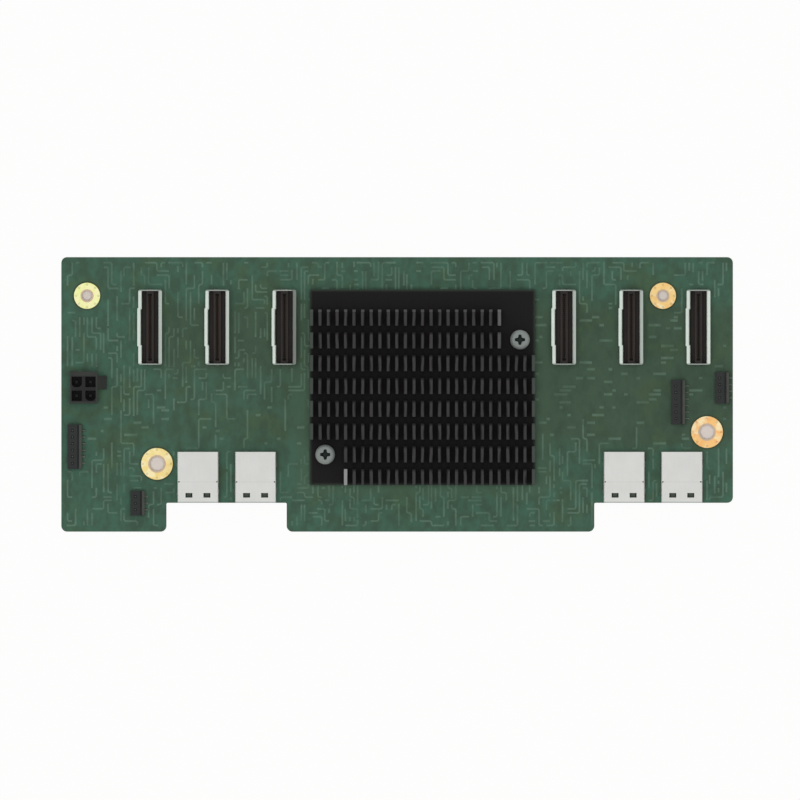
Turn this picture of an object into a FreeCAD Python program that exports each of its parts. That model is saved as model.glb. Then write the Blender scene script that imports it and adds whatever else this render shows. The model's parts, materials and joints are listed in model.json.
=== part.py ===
"""Server midplane board: a notched circuit board that carries a finned heat sink on a switch chip,
upright cable sockets, shielded cable ports on the notch edges, a power header and small side headers.

Millimetres. +X runs along the board to the right, +Y towards the plain long edge, +Z up off the
component side. The origin is under the middle of the board, on the plane that the solder tails stand on.
"""

import FreeCAD
import Part
import Sketcher
import math
import os
from types import SimpleNamespace

from FreeCAD import Placement, Rotation, Vector

# Driving dimensions: name, millimetres (or a plain count), meaning.
DIMENSIONS = [
    ("board_width", 205.0, "board, left edge to right edge"),
    ("board_depth", 83.8, "board, front edge to back edge"),
    ("board_thick", 2.36, "board laminate"),
    ("board_corner", 1.8, "radius of the board's outer corners"),
    ("router_corner", 0.4, "radius that the router leaves in the notch corners"),
    ("tail_below", 1.2, "solder tails and nut flanges below the board"),
    ("notch_depth", 8.8, "cable notches, front to back"),
    ("notch_from", -70.4, "left notch, left side"),
    ("notch_to", -33.7, "left notch, right side"),
    ("step_from", 60.2, "right notch, from here to the board's right edge"),
    ("pad_thick", 0.08, "plated metal pad round a mounting hole"),
    ("small_bore", 1.6, "bore radius of the two back mounting holes"),
    ("small_pad", 4.0, "pad radius of the two back mounting holes"),
    ("large_bore", 2.3, "bore radius of the two front mounting holes"),
    ("large_pad", 4.85, "pad radius of the two front mounting holes"),
    ("sink_x", 7.75, "heat sink, middle"),
    ("sink_back", 32.05, "heat sink, back edge"),
    ("sink_width", 68.9, "heat sink, left to right"),
    ("sink_depth", 59.8, "heat sink, front to back"),
    ("sink_base", 4.0, "heat sink base plate"),
    ("fin_height", 10.0, "fins above the base plate"),
    ("fin_thick", 1.1, "fin"),
    ("fin_columns", 27, "fins from left to right"),
    ("fin_rows", 8, "rows that the cross cuts leave"),
    ("fin_row_length", 5.0, "fin, front to back, between two cross cuts"),
    ("plain_strip", 6.1, "finless strip along the back edge of the heat sink"),
    ("screw_columns", 4, "fin columns left out round a screw"),
    ("back_screw_x", 37.5, "right-hand heat sink screw"),
    ("back_screw_y", 16.7, "right-hand heat sink screw"),
    ("front_screw_x", -21.95, "left-hand heat sink screw"),
    ("front_screw_y", -18.35, "left-hand heat sink screw"),
    ("screw_head", 3.0, "screw head radius"),
    ("screw_head_height", 1.9, "screw head"),
    ("screw_head_slope", 0.8, "slope of the screw head's rim, inwards and downwards"),
    ("screw_shank", 1.5, "screw shank radius and press nut bore radius"),
    ("screw_hole", 2.0, "radius of the screw hole in the heat sink"),
    ("recess_span", 3.1, "cross recess, tip to tip"),
    ("recess_width", 1.0, "cross recess, one slot"),
    ("recess_depth", 1.1, "cross recess"),
    ("spring_length", 4.0, "screw spring as fitted"),
    ("spring_radius", 2.3, "screw spring, middle of the wire"),
    ("spring_wire", 0.35, "screw spring wire, middle to corner"),
    ("spring_turns", 2, "screw spring"),
    ("nut_flange", 3.7, "press nut flange, middle to corner"),
    ("nut_barrel", 2.4, "press nut barrel radius"),
    ("chip_x", 7.8, "switch chip, middle"),
    ("chip_y", -1.0, "switch chip, middle"),
    ("chip_side", 35.0, "switch chip substrate"),
    ("chip_thick", 1.2, "switch chip substrate"),
    ("lid_side", 32.0, "switch chip lid"),
    ("lid_thick", 1.6, "switch chip lid"),
    ("pad_margin", 2.0, "lid left free round the thermal pad"),
    ("thermal_pad", 0.3, "thermal pad between the lid and the heat sink"),
    ("socket_y", 20.5, "row of cable sockets, middle"),
    ("socket_pitch", 20.5, "cable socket to cable socket"),
    ("socket_left", -75.4, "first socket of the left group"),
    ("socket_right", 51.0, "first socket of the right group"),
    ("socket_height", 11.0, "socket rim above the board"),
    ("socket_well", 4.6, "depth of the open well above the insulator"),
    ("well_width", 5.0, "inside of the socket shell, across"),
    ("well_length", 22.2, "inside of the socket shell, along"),
    ("shell_wall", 0.35, "socket shell sheet"),
    ("lip_side", 0.77, "rolled lip on the long sides of the shell"),
    ("lip_lead", 0.3, "sloped lead-in from the lip into the well, long sides"),
    ("key_depth", 0.3, "outward step of the shell's key"),
    ("key_length", 10.9, "key, along the shell"),
    ("shell_leg", 1.6, "width of a shell leg"),
    ("body_foot", 2.0, "foot of the insulator, which fills the shell"),
    ("housing_width", 2.4, "card housing on the insulator's foot, across"),
    ("slot_width", 1.0, "card slot in the housing"),
    ("slot_length", 20.4, "card slot in the housing"),
    ("slot_floor", 0.6, "insulator left under the card slot"),
    ("contact_row", 18.9, "row of contacts along one side of a card slot"),
    ("contact_thick", 0.2, "row of contacts, off the slot wall"),
    ("contact_below", 0.3, "top of the card housing to the tops of the contacts"),
    ("port_left", -60.8, "first port on the left notch"),
    ("port_right", 69.3, "first port on the right notch"),
    ("port_pitch", 17.6, "port to port"),
    ("cage_width", 12.55, "port cage, across"),
    ("cage_depth", 15.55, "port cage, front to back"),
    ("cage_height", 9.2, "port cage above the board"),
    ("cage_wall", 0.4, "port cage sheet"),
    ("cage_bend", 0.6, "outside bend radius of the cage"),
    ("window_width", 2.1, "latch window in the cage roof"),
    ("window_depth", 1.4, "latch window in the cage roof"),
    ("window_spread", 5.5, "latch window to latch window"),
    ("window_back", 2.3, "front edge to the middle of the latch windows"),
    ("relief_back", 6.4, "front edge to the bend reliefs"),
    ("relief_width", 0.35, "bend relief in the cage's upper edges, front to back"),
    ("relief", 0.7, "bend relief in the cage's upper edges, across"),
    ("cage_leg", 1.4, "width of a cage leg"),
    ("front_leg_back", 3.4, "front edge to the front cage legs"),
    ("rear_leg_back", 11.8, "front edge to the rear cage legs"),
    ("port_mouth", 6.0, "open depth in front of the port's insulator"),
    ("port_slot_width", 9.6, "card slot in the port's insulator"),
    ("port_slot_height", 1.5, "card slot in the port's insulator"),
    ("port_slot_depth", 5.5, "card slot in the port's insulator"),
    ("port_slot_low", 2.0, "bottom of the lower card slot"),
    ("port_slot_rise", 3.2, "lower card slot to upper card slot"),
    ("port_contact_row", 8.4, "row of contacts across a port slot"),
    ("port_contact_back", 0.4, "front of a port slot to its contacts"),
    ("port_contact_thick", 0.2, "row of contacts, off the slot floor"),
    ("power_x", -95.7, "power header, middle of its pins"),
    ("power_y", 1.7, "power header, middle of its pins"),
    ("power_width", 8.6, "power header body, across"),
    ("power_depth", 9.8, "power header body, front to back"),
    ("power_shift", 0.4, "power header body, how far its middle lies behind the middle of its pins"),
    ("power_height", 12.0, "power header body"),
    ("power_pitch", 4.2, "power pin to power pin"),
    ("cell_side", 3.1, "power header cell"),
    ("cell_cut", 0.8, "cut corners of the keyed cells"),
    ("cell_depth", 9.8, "power header cell"),
    ("latch_width", 4.2, "latch ramp on the power header"),
    ("latch_back", 1.9, "latch ramp, how far its middle lies behind the middle of the pins"),
    ("latch_out", 2.8, "latch ramp, how far it stands out"),
    ("latch_root", 0.3, "latch ramp, how far it reaches into the wall"),
    ("latch_low", 6.0, "bottom of the latch ramp"),
    ("latch_height", 3.6, "latch ramp"),
    ("latch_slope", 2.4, "chamfer that makes the latch a ramp"),
    ("power_pin", 1.07, "power pin, square"),
    ("power_pin_top", 8.5, "power pin above the board"),
    ("header_width", 4.4, "small header body, across"),
    ("header_height", 6.0, "small header body"),
    ("header_ends", 3.6, "small header body beyond its pin row, both ends together"),
    ("header_pitch", 2.0, "small header pin to pin"),
    ("header_row", -0.7, "small header pin row, off the middle of the body"),
    ("aperture", 0.7, "contact opening in the small header's top, square"),
    ("aperture_depth", 4.6, "contact opening in the small header's top"),
    ("latch_wall", 0.95, "latch wall along the small header's tail side"),
    ("groove_width", 0.5, "groove behind the latch wall"),
    ("groove_depth", 0.9, "groove behind the latch wall"),
    ("header_pin", 0.5, "small header pin, square"),
    ("header_pin_top", 5.8, "small header pin above the board"),
    ("tail_thick", 0.25, "soldered tail of a small header pin"),
    ("tail_out", 1.0, "soldered tail beyond the small header's wall"),
    ("leg_gap", 0.2, "play round a leg in its board slot"),
]

# Side headers: name, middle across, middle along, pins.
SIDE_HEADERS = [
    ("left_header", -98.4, -16.0, 6),
    ("corner_header", -79.2, -33.2, 3),
    ("bus_header", 85.8, -2.4, 6),
    ("right_header", 99.2, 2.0, 4),
]

MOUNT_HOLES = [
    ("back_left", -94.65, 30.1, "small"),
    ("back_right", 81.15, 30.1, "small"),
    ("front_left", -73.3, -21.2, "large"),
    ("front_right", 94.6, -11.5, "large"),
]


class Size:
    """A length that carries the sheet expression it was worked out with."""

    def __init__(self, value, text):
        self.value = value
        self.text = text

    @staticmethod
    def of(thing):
        return thing if isinstance(thing, Size) else Size(float(thing), f"({float(thing)})")

    def __add__(self, other):
        other = Size.of(other)
        return Size(self.value + other.value, f"({self.text} + {other.text})")

    def __sub__(self, other):
        other = Size.of(other)
        return Size(self.value - other.value, f"({self.text} - {other.text})")

    def __mul__(self, other):
        other = Size.of(other)
        return Size(self.value * other.value, f"({self.text} * {other.text})")

    def __truediv__(self, other):
        other = Size.of(other)
        return Size(self.value / other.value, f"({self.text} / {other.text})")

    def __neg__(self):
        return Size(-self.value, f"(-1 * {self.text})")


doc = FreeCAD.newDocument("midplane")
sheet = doc.addObject("Spreadsheet::Sheet", "dims")
D = SimpleNamespace()
finished = {}


def fill_sheet():
    """Writes every driving dimension to the sheet and makes it reachable as D.name."""
    rows = list(DIMENSIONS)
    for name, x, y, pins in SIDE_HEADERS:
        rows.append((f"{name}_x", x, f"{name}, middle"))
        rows.append((f"{name}_y", y, f"{name}, middle"))
        rows.append((f"{name}_pins", pins, f"{name}, pins"))
    for name, x, y, _ in MOUNT_HOLES:
        rows.append((f"{name}_hole_x", x, f"{name} mounting hole"))
        rows.append((f"{name}_hole_y", y, f"{name} mounting hole"))
    for row, (alias, value, meaning) in enumerate(rows, start=1):
        sheet.set(f"A{row}", meaning)
        sheet.set(f"B{row}", str(value))
        sheet.setAlias(f"B{row}", alias)
        setattr(D, alias, Size(float(value), f"dims.{alias}"))
    doc.recompute()


# Sketches and features

ZERO = Size.of(0)


def bind(thing, path, size):
    thing.setExpression(path, Size.of(size).text)


def new_body(label):
    body = doc.addObject("PartDesign::Body", label)
    body.Label = label
    return body


def new_sketch(body, height=ZERO, plane="XY_Plane"):
    """A sketch on one of the body's own origin planes, lifted off it by a height."""
    sketch = body.newObject("Sketcher::SketchObject", "Sketch")
    support = next(f for f in body.Origin.OriginFeatures if f.Role == plane)
    sketch.AttachmentSupport = [(support, "")]
    sketch.MapMode = "FlatFace"
    bind(sketch, "AttachmentOffset.Base.z", height)
    return sketch


def place_point(sketch, geometry, point, x, y):
    """Ties a point of the sketch to its place in the sheet."""
    for kind, size in (("DistanceX", x), ("DistanceY", y)):
        constraint = Sketcher.Constraint(kind, -1, 1, geometry, point, size.value)
        number = sketch.addConstraint(constraint)
        bind(sketch, f"Constraints[{number}]", size)


def outline(sketch, points):
    """A closed outline of straight lines through the points, each corner bound to the sheet."""
    points = [(Size.of(x), Size.of(y)) for x, y in points]
    corners = [Vector(x.value, y.value, 0) for x, y in points]
    count = len(corners)
    first = sketch.GeometryCount
    lines = [Part.LineSegment(corners[i], corners[(i + 1) % count]) for i in range(count)]
    sketch.addGeometry(lines, False)
    sketch.addConstraint(
        [Sketcher.Constraint("Coincident", first + i, 2, first + (i + 1) % count, 1) for i in range(count)]
    )
    for i, (x, y) in enumerate(points):
        place_point(sketch, first + i, 1, x, y)


def rectangle(sketch, x0, y0, x1, y1):
    outline(sketch, [(x0, y0), (x1, y0), (x1, y1), (x0, y1)])


def centred(sketch, x, y, width, depth):
    x, y = Size.of(x), Size.of(y)
    rectangle(sketch, x - width / 2, y - depth / 2, x + width / 2, y + depth / 2)


def circle(sketch, x, y, radius):
    x, y, radius = Size.of(x), Size.of(y), Size.of(radius)
    number = sketch.addGeometry(Part.Circle(Vector(x.value, y.value, 0), Vector(0, 0, 1), radius.value), False)
    place_point(sketch, number, 3, x, y)
    constraint = sketch.addConstraint(Sketcher.Constraint("Radius", number, radius.value))
    bind(sketch, f"Constraints[{constraint}]", radius)


def pad(body, sketch, length, down=False):
    feature = body.newObject("PartDesign::Pad", "Pad")
    feature.Profile = sketch
    feature.Reversed = down
    bind(feature, "Length", length)
    return feature


def pocket(body, sketch, depth):
    """Cuts down from the sketch."""
    feature = body.newObject("PartDesign::Pocket", "Pocket")
    feature.Profile = sketch
    bind(feature, "Length", depth)
    return feature


def pattern(body, feature, axis, length, count):
    """Repeats a feature along an origin axis, first to last over a length."""
    repeat = body.newObject("PartDesign::LinearPattern", "Pattern")
    repeat.Originals = [feature]
    direction = next(f for f in body.Origin.OriginFeatures if f.Role == axis)
    repeat.Direction = (direction, [""])
    bind(repeat, "Length", length)
    bind(repeat, "Occurrences", count)
    body.Tip = repeat
    return repeat


def dress(body, kind, size, test):
    """Fillets or chamfers the edges of the body's last feature whose middle passes the test."""
    doc.recompute()
    base = body.Tip
    edges = [f"Edge{i}" for i, edge in enumerate(base.Shape.Edges, start=1) if test(edge)]
    feature = body.newObject(f"PartDesign::{kind}", kind)
    feature.Base = (base, edges)
    bind(feature, "Radius" if kind == "Fillet" else "Size", size)
    return feature


def revolve(body, points):
    """A solid of revolution about the body's Z axis, from an outline of (radius, height) points."""
    sketch = new_sketch(body, plane="XZ_Plane")
    outline(sketch, points)
    feature = body.newObject("PartDesign::Revolution", "Revolution")
    feature.Profile = sketch
    feature.ReferenceAxis = (sketch, ["V_Axis"])
    feature.Angle = 360
    return feature


def near(a, b):
    return abs(a - b) < 1e-4


def is_upright(edge):
    return near(abs(edge.tangentAt(edge.FirstParameter).z), 1)


def put(thing, x=ZERO, y=ZERO, z=ZERO):
    """Places a piece, with its place bound to the sheet."""
    for axis, size in (("x", x), ("y", y), ("z", z)):
        bind(thing, f"Placement.Base.{axis}", size)
    return thing


def finish(label, thing):
    thing.Label = label
    finished[label] = thing
    return thing


def plain_box(name, x, y, z, size_x, size_y, size_z):
    """A box from its low corner and its sizes."""
    made = doc.addObject("Part::Box", name)
    for path, size in (("Length", size_x), ("Width", size_y), ("Height", size_z)):
        bind(made, path, size)
    return put(made, x, y, z)


def cut(name, base, tool):
    made = doc.addObject("Part::Cut", name)
    made.Base = base
    made.Tool = tool
    return made


def together(name, things):
    """Separate solids that share one node."""
    made = doc.addObject("Part::Compound", name)
    made.Links = things
    return made


def bar(x, y, z, size_x, size_y, size_z):
    """A plain box solid from Size or number arguments, for rows of contacts and pins."""
    x, y, z, size_x, size_y, size_z = (Size.of(s).value for s in (x, y, z, size_x, size_y, size_z))
    return Part.makeBox(size_x, size_y, size_z, Vector(x, y, z))


def row_of_solids(name, solids, place):
    """Many like solids in one node, in their own frame, moved to their place."""
    made = doc.addObject("Part::Feature", name)
    made.Shape = Part.makeCompound(solids)
    made.Placement = Placement(Vector(*(size.value for size in place)), Rotation())
    return made


# Circuit board

def board_outline():
    right, back = D.board_width / 2, D.board_depth / 2
    front = -back
    step = front + D.notch_depth
    return [
        (-right, front),
        (D.notch_from, front),
        (D.notch_from, step),
        (D.notch_to, step),
        (D.notch_to, front),
        (D.step_from, front),
        (D.step_from, step),
        (right, step),
        (right, back),
        (-right, back),
    ]


def circuit_board(sockets, ports):
    """The laminate, with its notches, mounting holes and the slots and holes for legs, pins and nuts."""
    body = new_body("circuit_board")
    sketch = new_sketch(body, D.tail_below)
    corners = board_outline()
    outline(sketch, corners)
    pad(body, sketch, D.board_thick)
    inner = [(x.value, y.value) for x, y in (corners[2], corners[3], corners[6])]

    def in_notch(edge):
        middle = edge.CenterOfMass
        return any(near(middle.x, x) and near(middle.y, y) for x, y in inner)

    dress(body, "Fillet", D.board_corner, lambda edge: is_upright(edge) and not in_notch(edge))
    dress(body, "Fillet", D.router_corner, lambda edge: is_upright(edge) and in_notch(edge))

    holes = new_sketch(body, D.tail_below + D.board_thick)
    for name, _, _, kind in MOUNT_HOLES:
        circle(holes, getattr(D, f"{name}_hole_x"), getattr(D, f"{name}_hole_y"), getattr(D, f"{kind}_bore"))
    circle(holes, D.back_screw_x, D.back_screw_y, D.nut_barrel)
    circle(holes, D.front_screw_x, D.front_screw_y, D.nut_barrel)
    pocket(body, holes, D.board_thick)

    slots = new_sketch(body, D.tail_below + D.board_thick)
    shell_end = D.well_length / 2 + D.shell_wall / 2
    play = D.leg_gap * 2
    for pin_x, pin_y in power_pin_places():
        centred(slots, D.power_x + pin_x, D.power_y + pin_y, D.power_pin + play, D.power_pin + play)
    for x in sockets:
        for side in (-1, 1):
            centred(slots, x, D.socket_y + shell_end * side, D.shell_leg + play, D.shell_wall + play)
    leg_x = D.cage_width / 2 - D.cage_wall / 2
    for x in ports:
        for side in (-1, 1):
            for leg_y in (D.front_leg_back, D.rear_leg_back):
                centred(slots, x + leg_x * side, port_front() + leg_y, D.cage_wall + play, D.cage_leg + play)
    pocket(body, slots, D.board_thick)
    finish("circuit_board", body)


def board_top():
    return D.tail_below + D.board_thick


def port_front():
    return D.notch_depth - D.board_depth / 2


def mount_pad(name, kind):
    """The flat plated pad round one mounting hole, on the component side."""
    bore = getattr(D, f"{kind}_bore")
    rim = getattr(D, f"{kind}_pad")
    body = new_body(f"mount_pad_{name}")
    revolve(body, [(bore, ZERO), (rim, ZERO), (rim, D.pad_thick), (bore, D.pad_thick)])
    return put(body, getattr(D, f"{name}_hole_x"), getattr(D, f"{name}_hole_y"), board_top())


def mount_pads():
    pads = [mount_pad(name, kind) for name, _, _, kind in MOUNT_HOLES]
    finish("mount_pads", together("mount_pads", pads))


# Switch chip and heat sink

def chip_stack():
    """Substrate, lid and thermal pad, each on top of the last."""
    low = board_top()
    substrate = new_body("chip_substrate")
    sketch = new_sketch(substrate, low)
    centred(sketch, D.chip_x, D.chip_y, D.chip_side, D.chip_side)
    pad(substrate, sketch, D.chip_thick)
    finish("chip_substrate", substrate)

    lid = new_body("chip_lid")
    sketch = new_sketch(lid, low + D.chip_thick)
    centred(sketch, D.chip_x, D.chip_y, D.lid_side, D.lid_side)
    pad(lid, sketch, D.lid_thick)
    finish("chip_lid", lid)

    layer = new_body("thermal_pad")
    sketch = new_sketch(layer, low + D.chip_thick + D.lid_thick)
    side = D.lid_side - D.pad_margin * 2
    centred(sketch, D.chip_x, D.chip_y, side, side)
    pad(layer, sketch, D.thermal_pad)
    finish("thermal_pad", layer)


def sink_low():
    return board_top() + D.chip_thick + D.lid_thick + D.thermal_pad


def heat_sink():
    """Extruded base and fins, cut across into rows, with the fins left out round the two screws."""
    left = D.sink_x - D.sink_width / 2
    right = D.sink_x + D.sink_width / 2
    front = D.sink_back - D.sink_depth
    fins_back = D.sink_back - D.plain_strip
    fins_depth = D.sink_depth - D.plain_strip
    top = sink_low() + D.sink_base
    fin_pitch = (D.sink_width - D.fin_thick) / (D.fin_columns - 1)
    row_pitch = (fins_depth - D.fin_row_length) / (D.fin_rows - 1)
    cross_cut = row_pitch - D.fin_row_length

    body = new_body("heat_sink")
    base = new_sketch(body, sink_low())
    rectangle(base, left, front, right, D.sink_back)
    pad(body, base, D.sink_base)

    fin = new_sketch(body, top)
    rectangle(fin, left, front, left + D.fin_thick, fins_back)
    first_fin = pad(body, fin, D.fin_height)
    pattern(body, first_fin, "X_Axis", D.sink_width - D.fin_thick, D.fin_columns)

    saw = new_sketch(body, top + D.fin_height)
    saw_front = front + D.fin_row_length
    rectangle(saw, left - 1, saw_front, right + 1, saw_front + cross_cut)
    first_cut = pocket(body, saw, D.fin_height)
    pattern(body, first_cut, "Y_Axis", row_pitch * (D.fin_rows - 2), D.fin_rows - 1)

    bay = fin_pitch * D.screw_columns
    bay_depth = row_pitch * 2 - cross_cut / 2
    bays = new_sketch(body, top + D.fin_height)
    rectangle(bays, right - bay, fins_back - bay_depth, right + 1, fins_back + 1)
    rectangle(bays, left - 1, front - 1, left + bay, front + bay_depth)
    pocket(body, bays, D.fin_height)

    holes = new_sketch(body, top)
    for x, y in screw_places():
        circle(holes, x, y, D.screw_hole)
    pocket(body, holes, D.sink_base)
    finish("heat_sink", body)


def screw_places():
    return [(D.back_screw_x, D.back_screw_y), (D.front_screw_x, D.front_screw_y)]


def screw(number, x, y):
    """A screw with a sloped round head and a cross recess, its end in the press nut."""
    under_head = sink_low() + D.sink_base + D.spring_length
    over_head = under_head + D.screw_head_height
    body = new_body(f"screw_{number}")
    revolve(
        body,
        [
            (ZERO, ZERO),
            (D.screw_shank, ZERO),
            (D.screw_shank, under_head),
            (D.screw_head, under_head),
            (D.screw_head, over_head - D.screw_head_slope),
            (D.screw_head - D.screw_head_slope, over_head),
            (ZERO, over_head),
        ],
    )
    for width, depth in ((D.recess_span, D.recess_width), (D.recess_width, D.recess_span)):
        recess = new_sketch(body, over_head)
        centred(recess, 0, 0, width, depth)
        pocket(body, recess, D.recess_depth)
    return put(body, x, y)


def spring(number, x, y):
    """A square-wire compression spring from the heat sink's base up to the screw head."""
    path = doc.addObject("Part::Helix", f"spring_path_{number}")
    bind(path, "Pitch", (D.spring_length - D.spring_wire * 2) / D.spring_turns)
    bind(path, "Height", D.spring_length - D.spring_wire * 2)
    bind(path, "Radius", D.spring_radius)
    wire = doc.addObject("Part::RegularPolygon", f"spring_wire_{number}")
    wire.Polygon = 4
    bind(wire, "Circumradius", D.spring_wire)
    wire.Placement = Placement(Vector(D.spring_radius.value, 0, 0), Rotation(Vector(1, 0, 0), 90))
    bind(wire, "Placement.Base.x", D.spring_radius)
    coil = doc.addObject("Part::Sweep", f"spring_{number}")
    coil.Sections = [wire]
    coil.Spine = (path, [])
    coil.Solid = True
    coil.Frenet = True
    return put(coil, x, y, sink_low() + D.sink_base + D.spring_wire)


def press_nut(number, x, y):
    """A hexagon nut pressed into the board from below, its barrel flush with the top of the board."""
    corners = [math.radians(60 * i) for i in range(6)]
    body = new_body(f"press_nut_{number}")
    flange = new_sketch(body)
    outline(flange, [(D.nut_flange * math.cos(a), D.nut_flange * math.sin(a)) for a in corners])
    pad(body, flange, D.tail_below)
    barrel = new_sketch(body, D.tail_below)
    circle(barrel, 0, 0, D.nut_barrel)
    pad(body, barrel, D.board_thick)
    bore = new_sketch(body, board_top())
    circle(bore, 0, 0, D.screw_shank)
    pocket(body, bore, board_top())
    return put(body, x, y)


def heat_sink_fasteners():
    for label, make in (("heat_sink_screws", screw), ("screw_springs", spring), ("press_nuts", press_nut)):
        made = [make(number, x, y) for number, (x, y) in enumerate(screw_places(), start=1)]
        finish(label, together(label, made))


# Upright cable sockets

def keyed_outline(half_width, half_length, key_half):
    """A rectangle whose left side steps outwards along its middle."""
    key_x = -half_width - D.key_depth
    return [
        (-half_width, -half_length),
        (half_width, -half_length),
        (half_width, half_length),
        (-half_width, half_length),
        (-half_width, key_half),
        (key_x, key_half),
        (key_x, -key_half),
        (-half_width, -key_half),
    ]


def socket_shell(number, x):
    """The formed shield: a keyed tube with its long sides rolled outwards and a leg at each end."""
    half_width, half_length, key_half = D.well_width / 2, D.well_length / 2, D.key_length / 2
    wall = D.shell_wall
    label = f"socket_shell_{number}"
    body = new_body(label)
    tube = new_sketch(body)
    outline(tube, keyed_outline(half_width + wall, half_length + wall, key_half + wall))
    pad(body, tube, D.socket_height)
    lip = new_sketch(body, D.socket_height - wall)
    outline(lip, keyed_outline(half_width + wall + D.lip_side, half_length + wall, key_half + wall))
    pad(body, lip, wall)
    well = new_sketch(body, D.socket_height)
    outline(well, keyed_outline(half_width, half_length, key_half))
    pocket(body, well, D.socket_height)
    legs = new_sketch(body)
    for side in (-1, 1):
        centred(legs, 0, (half_length + wall / 2) * side, D.shell_leg, wall)
    pad(body, legs, board_top(), down=True)

    inside_x, inside_y = half_width.value + D.key_depth.value, half_length.value

    def is_well_rim(edge):
        middle = edge.CenterOfMass
        in_well = abs(middle.x) < inside_x + 1e-4 and abs(middle.y) < inside_y - 1e-4
        return in_well and near(edge.BoundBox.ZMin, D.socket_height.value)

    dress(body, "Chamfer", D.lip_lead, is_well_rim)
    finish(label, put(body, x, D.socket_y, board_top()))


def socket_body(number, x):
    """The insulator: a foot that fills the shell, and a slotted card housing clear of the shell's long sides."""
    label = f"socket_body_{number}"
    top = D.socket_height - D.socket_well
    body = new_body(label)
    foot = new_sketch(body)
    centred(foot, 0, 0, D.well_width, D.well_length)
    pad(body, foot, D.body_foot)
    housing = new_sketch(body, D.body_foot)
    centred(housing, 0, 0, D.housing_width, D.well_length)
    pad(body, housing, top - D.body_foot)
    slot = new_sketch(body, top)
    centred(slot, 0, 0, D.slot_width, D.slot_length)
    pocket(body, slot, top - D.slot_floor)
    finish(label, put(body, x, D.socket_y, board_top()))


def socket_contacts(number, x):
    """Two rows of contacts that stand on the floor of the card slot against its walls, each row one strip."""
    label = f"socket_contacts_{number}"
    height = D.socket_height - D.socket_well - D.contact_below - D.slot_floor
    low_y = -D.contact_row / 2
    rows = [
        plain_box(f"{label}_row", low_x, low_y, D.slot_floor, D.contact_thick, D.contact_row, height)
        for low_x in (-D.slot_width / 2, D.slot_width / 2 - D.contact_thick)
    ]
    finish(label, put(together(label, rows), x, D.socket_y, board_top()))


def socket_places():
    left = [D.socket_left + D.socket_pitch * i for i in range(3)]
    right = [D.socket_right + D.socket_pitch * i for i in range(3)]
    return left + right


# Shielded cable ports on the notch edges

def port_cage(number, x):
    """The folded cage, open at the front and over the board, with latch windows, bend reliefs and four legs."""
    label = f"port_cage_{number}"
    half, roof = D.cage_width / 2, D.cage_height
    body = new_body(label)
    box = new_sketch(body)
    rectangle(box, -half, ZERO, half, D.cage_depth)
    pad(body, box, roof)

    def is_bend(edge):
        middle = edge.CenterOfMass
        on_side = near(abs(middle.x), half.value)
        on_roof = near(edge.BoundBox.ZMin, roof.value)
        return on_side and on_roof

    dress(body, "Fillet", D.cage_bend, is_bend)
    inside = new_sketch(body, roof - D.cage_wall)
    rectangle(inside, D.cage_wall - half, -D.cage_wall, half - D.cage_wall, D.cage_depth - D.cage_wall)
    pocket(body, inside, roof)

    windows = new_sketch(body, roof)
    for side in (-1, 1):
        centred(windows, D.window_spread / 2 * side, D.window_back, D.window_width, D.window_depth)
    pocket(body, windows, D.cage_wall * 2)
    reliefs = new_sketch(body, roof)
    for side in (-1, 1):
        centred(reliefs, half * side, D.relief_back, D.relief * 2, D.relief_width)
    pocket(body, reliefs, D.relief * 2)
    legs = new_sketch(body)
    for side in (-1, 1):
        for leg_y in (D.front_leg_back, D.rear_leg_back):
            centred(legs, (half - D.cage_wall / 2) * side, leg_y, D.cage_wall, D.cage_leg)
    pad(body, legs, board_top(), down=True)
    finish(label, put(body, x, port_front(), board_top()))


def port_slot_heights():
    return [D.port_slot_low, D.port_slot_low + D.port_slot_rise]


def port_body(number, x):
    """The insulator at the back of the cage, with two card slots that open to the front."""
    label = f"port_body_{number}"
    width = D.cage_width - D.cage_wall * 2
    block = plain_box(
        f"{label}_block",
        -width / 2,
        D.port_mouth,
        ZERO,
        width,
        D.cage_depth - D.cage_wall - D.port_mouth,
        D.cage_height - D.cage_wall,
    )
    slots = [
        plain_box(
            f"{label}_slot",
            -D.port_slot_width / 2,
            D.port_mouth,
            low,
            D.port_slot_width,
            D.port_slot_depth,
            D.port_slot_height,
        )
        for low in port_slot_heights()
    ]
    made = cut(label, block, together(f"{label}_slots", slots))
    finish(label, put(made, x, port_front(), board_top()))


def port_contacts(number, x):
    """Rows of contacts on the floor and the ceiling of both card slots, each row one strip."""
    label = f"port_contacts_{number}"
    low_y = D.port_mouth + D.port_contact_back
    size = (D.port_contact_row, D.port_slot_depth - D.port_contact_back, D.port_contact_thick)
    rows = [
        plain_box(f"{label}_row", -D.port_contact_row / 2, low_y, low_z, *size)
        for slot_low in port_slot_heights()
        for low_z in (slot_low, slot_low + D.port_slot_height - D.port_contact_thick)
    ]
    finish(label, put(together(label, rows), x, port_front(), board_top()))


def port_places():
    return [start + D.port_pitch * i for start in (D.port_left, D.port_right) for i in range(2)]


# Headers

def power_pin_places():
    step = D.power_pitch / 2
    return [(step * side_x, step * side_y) for side_y in (-1, 1) for side_x in (-1, 1)]


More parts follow.
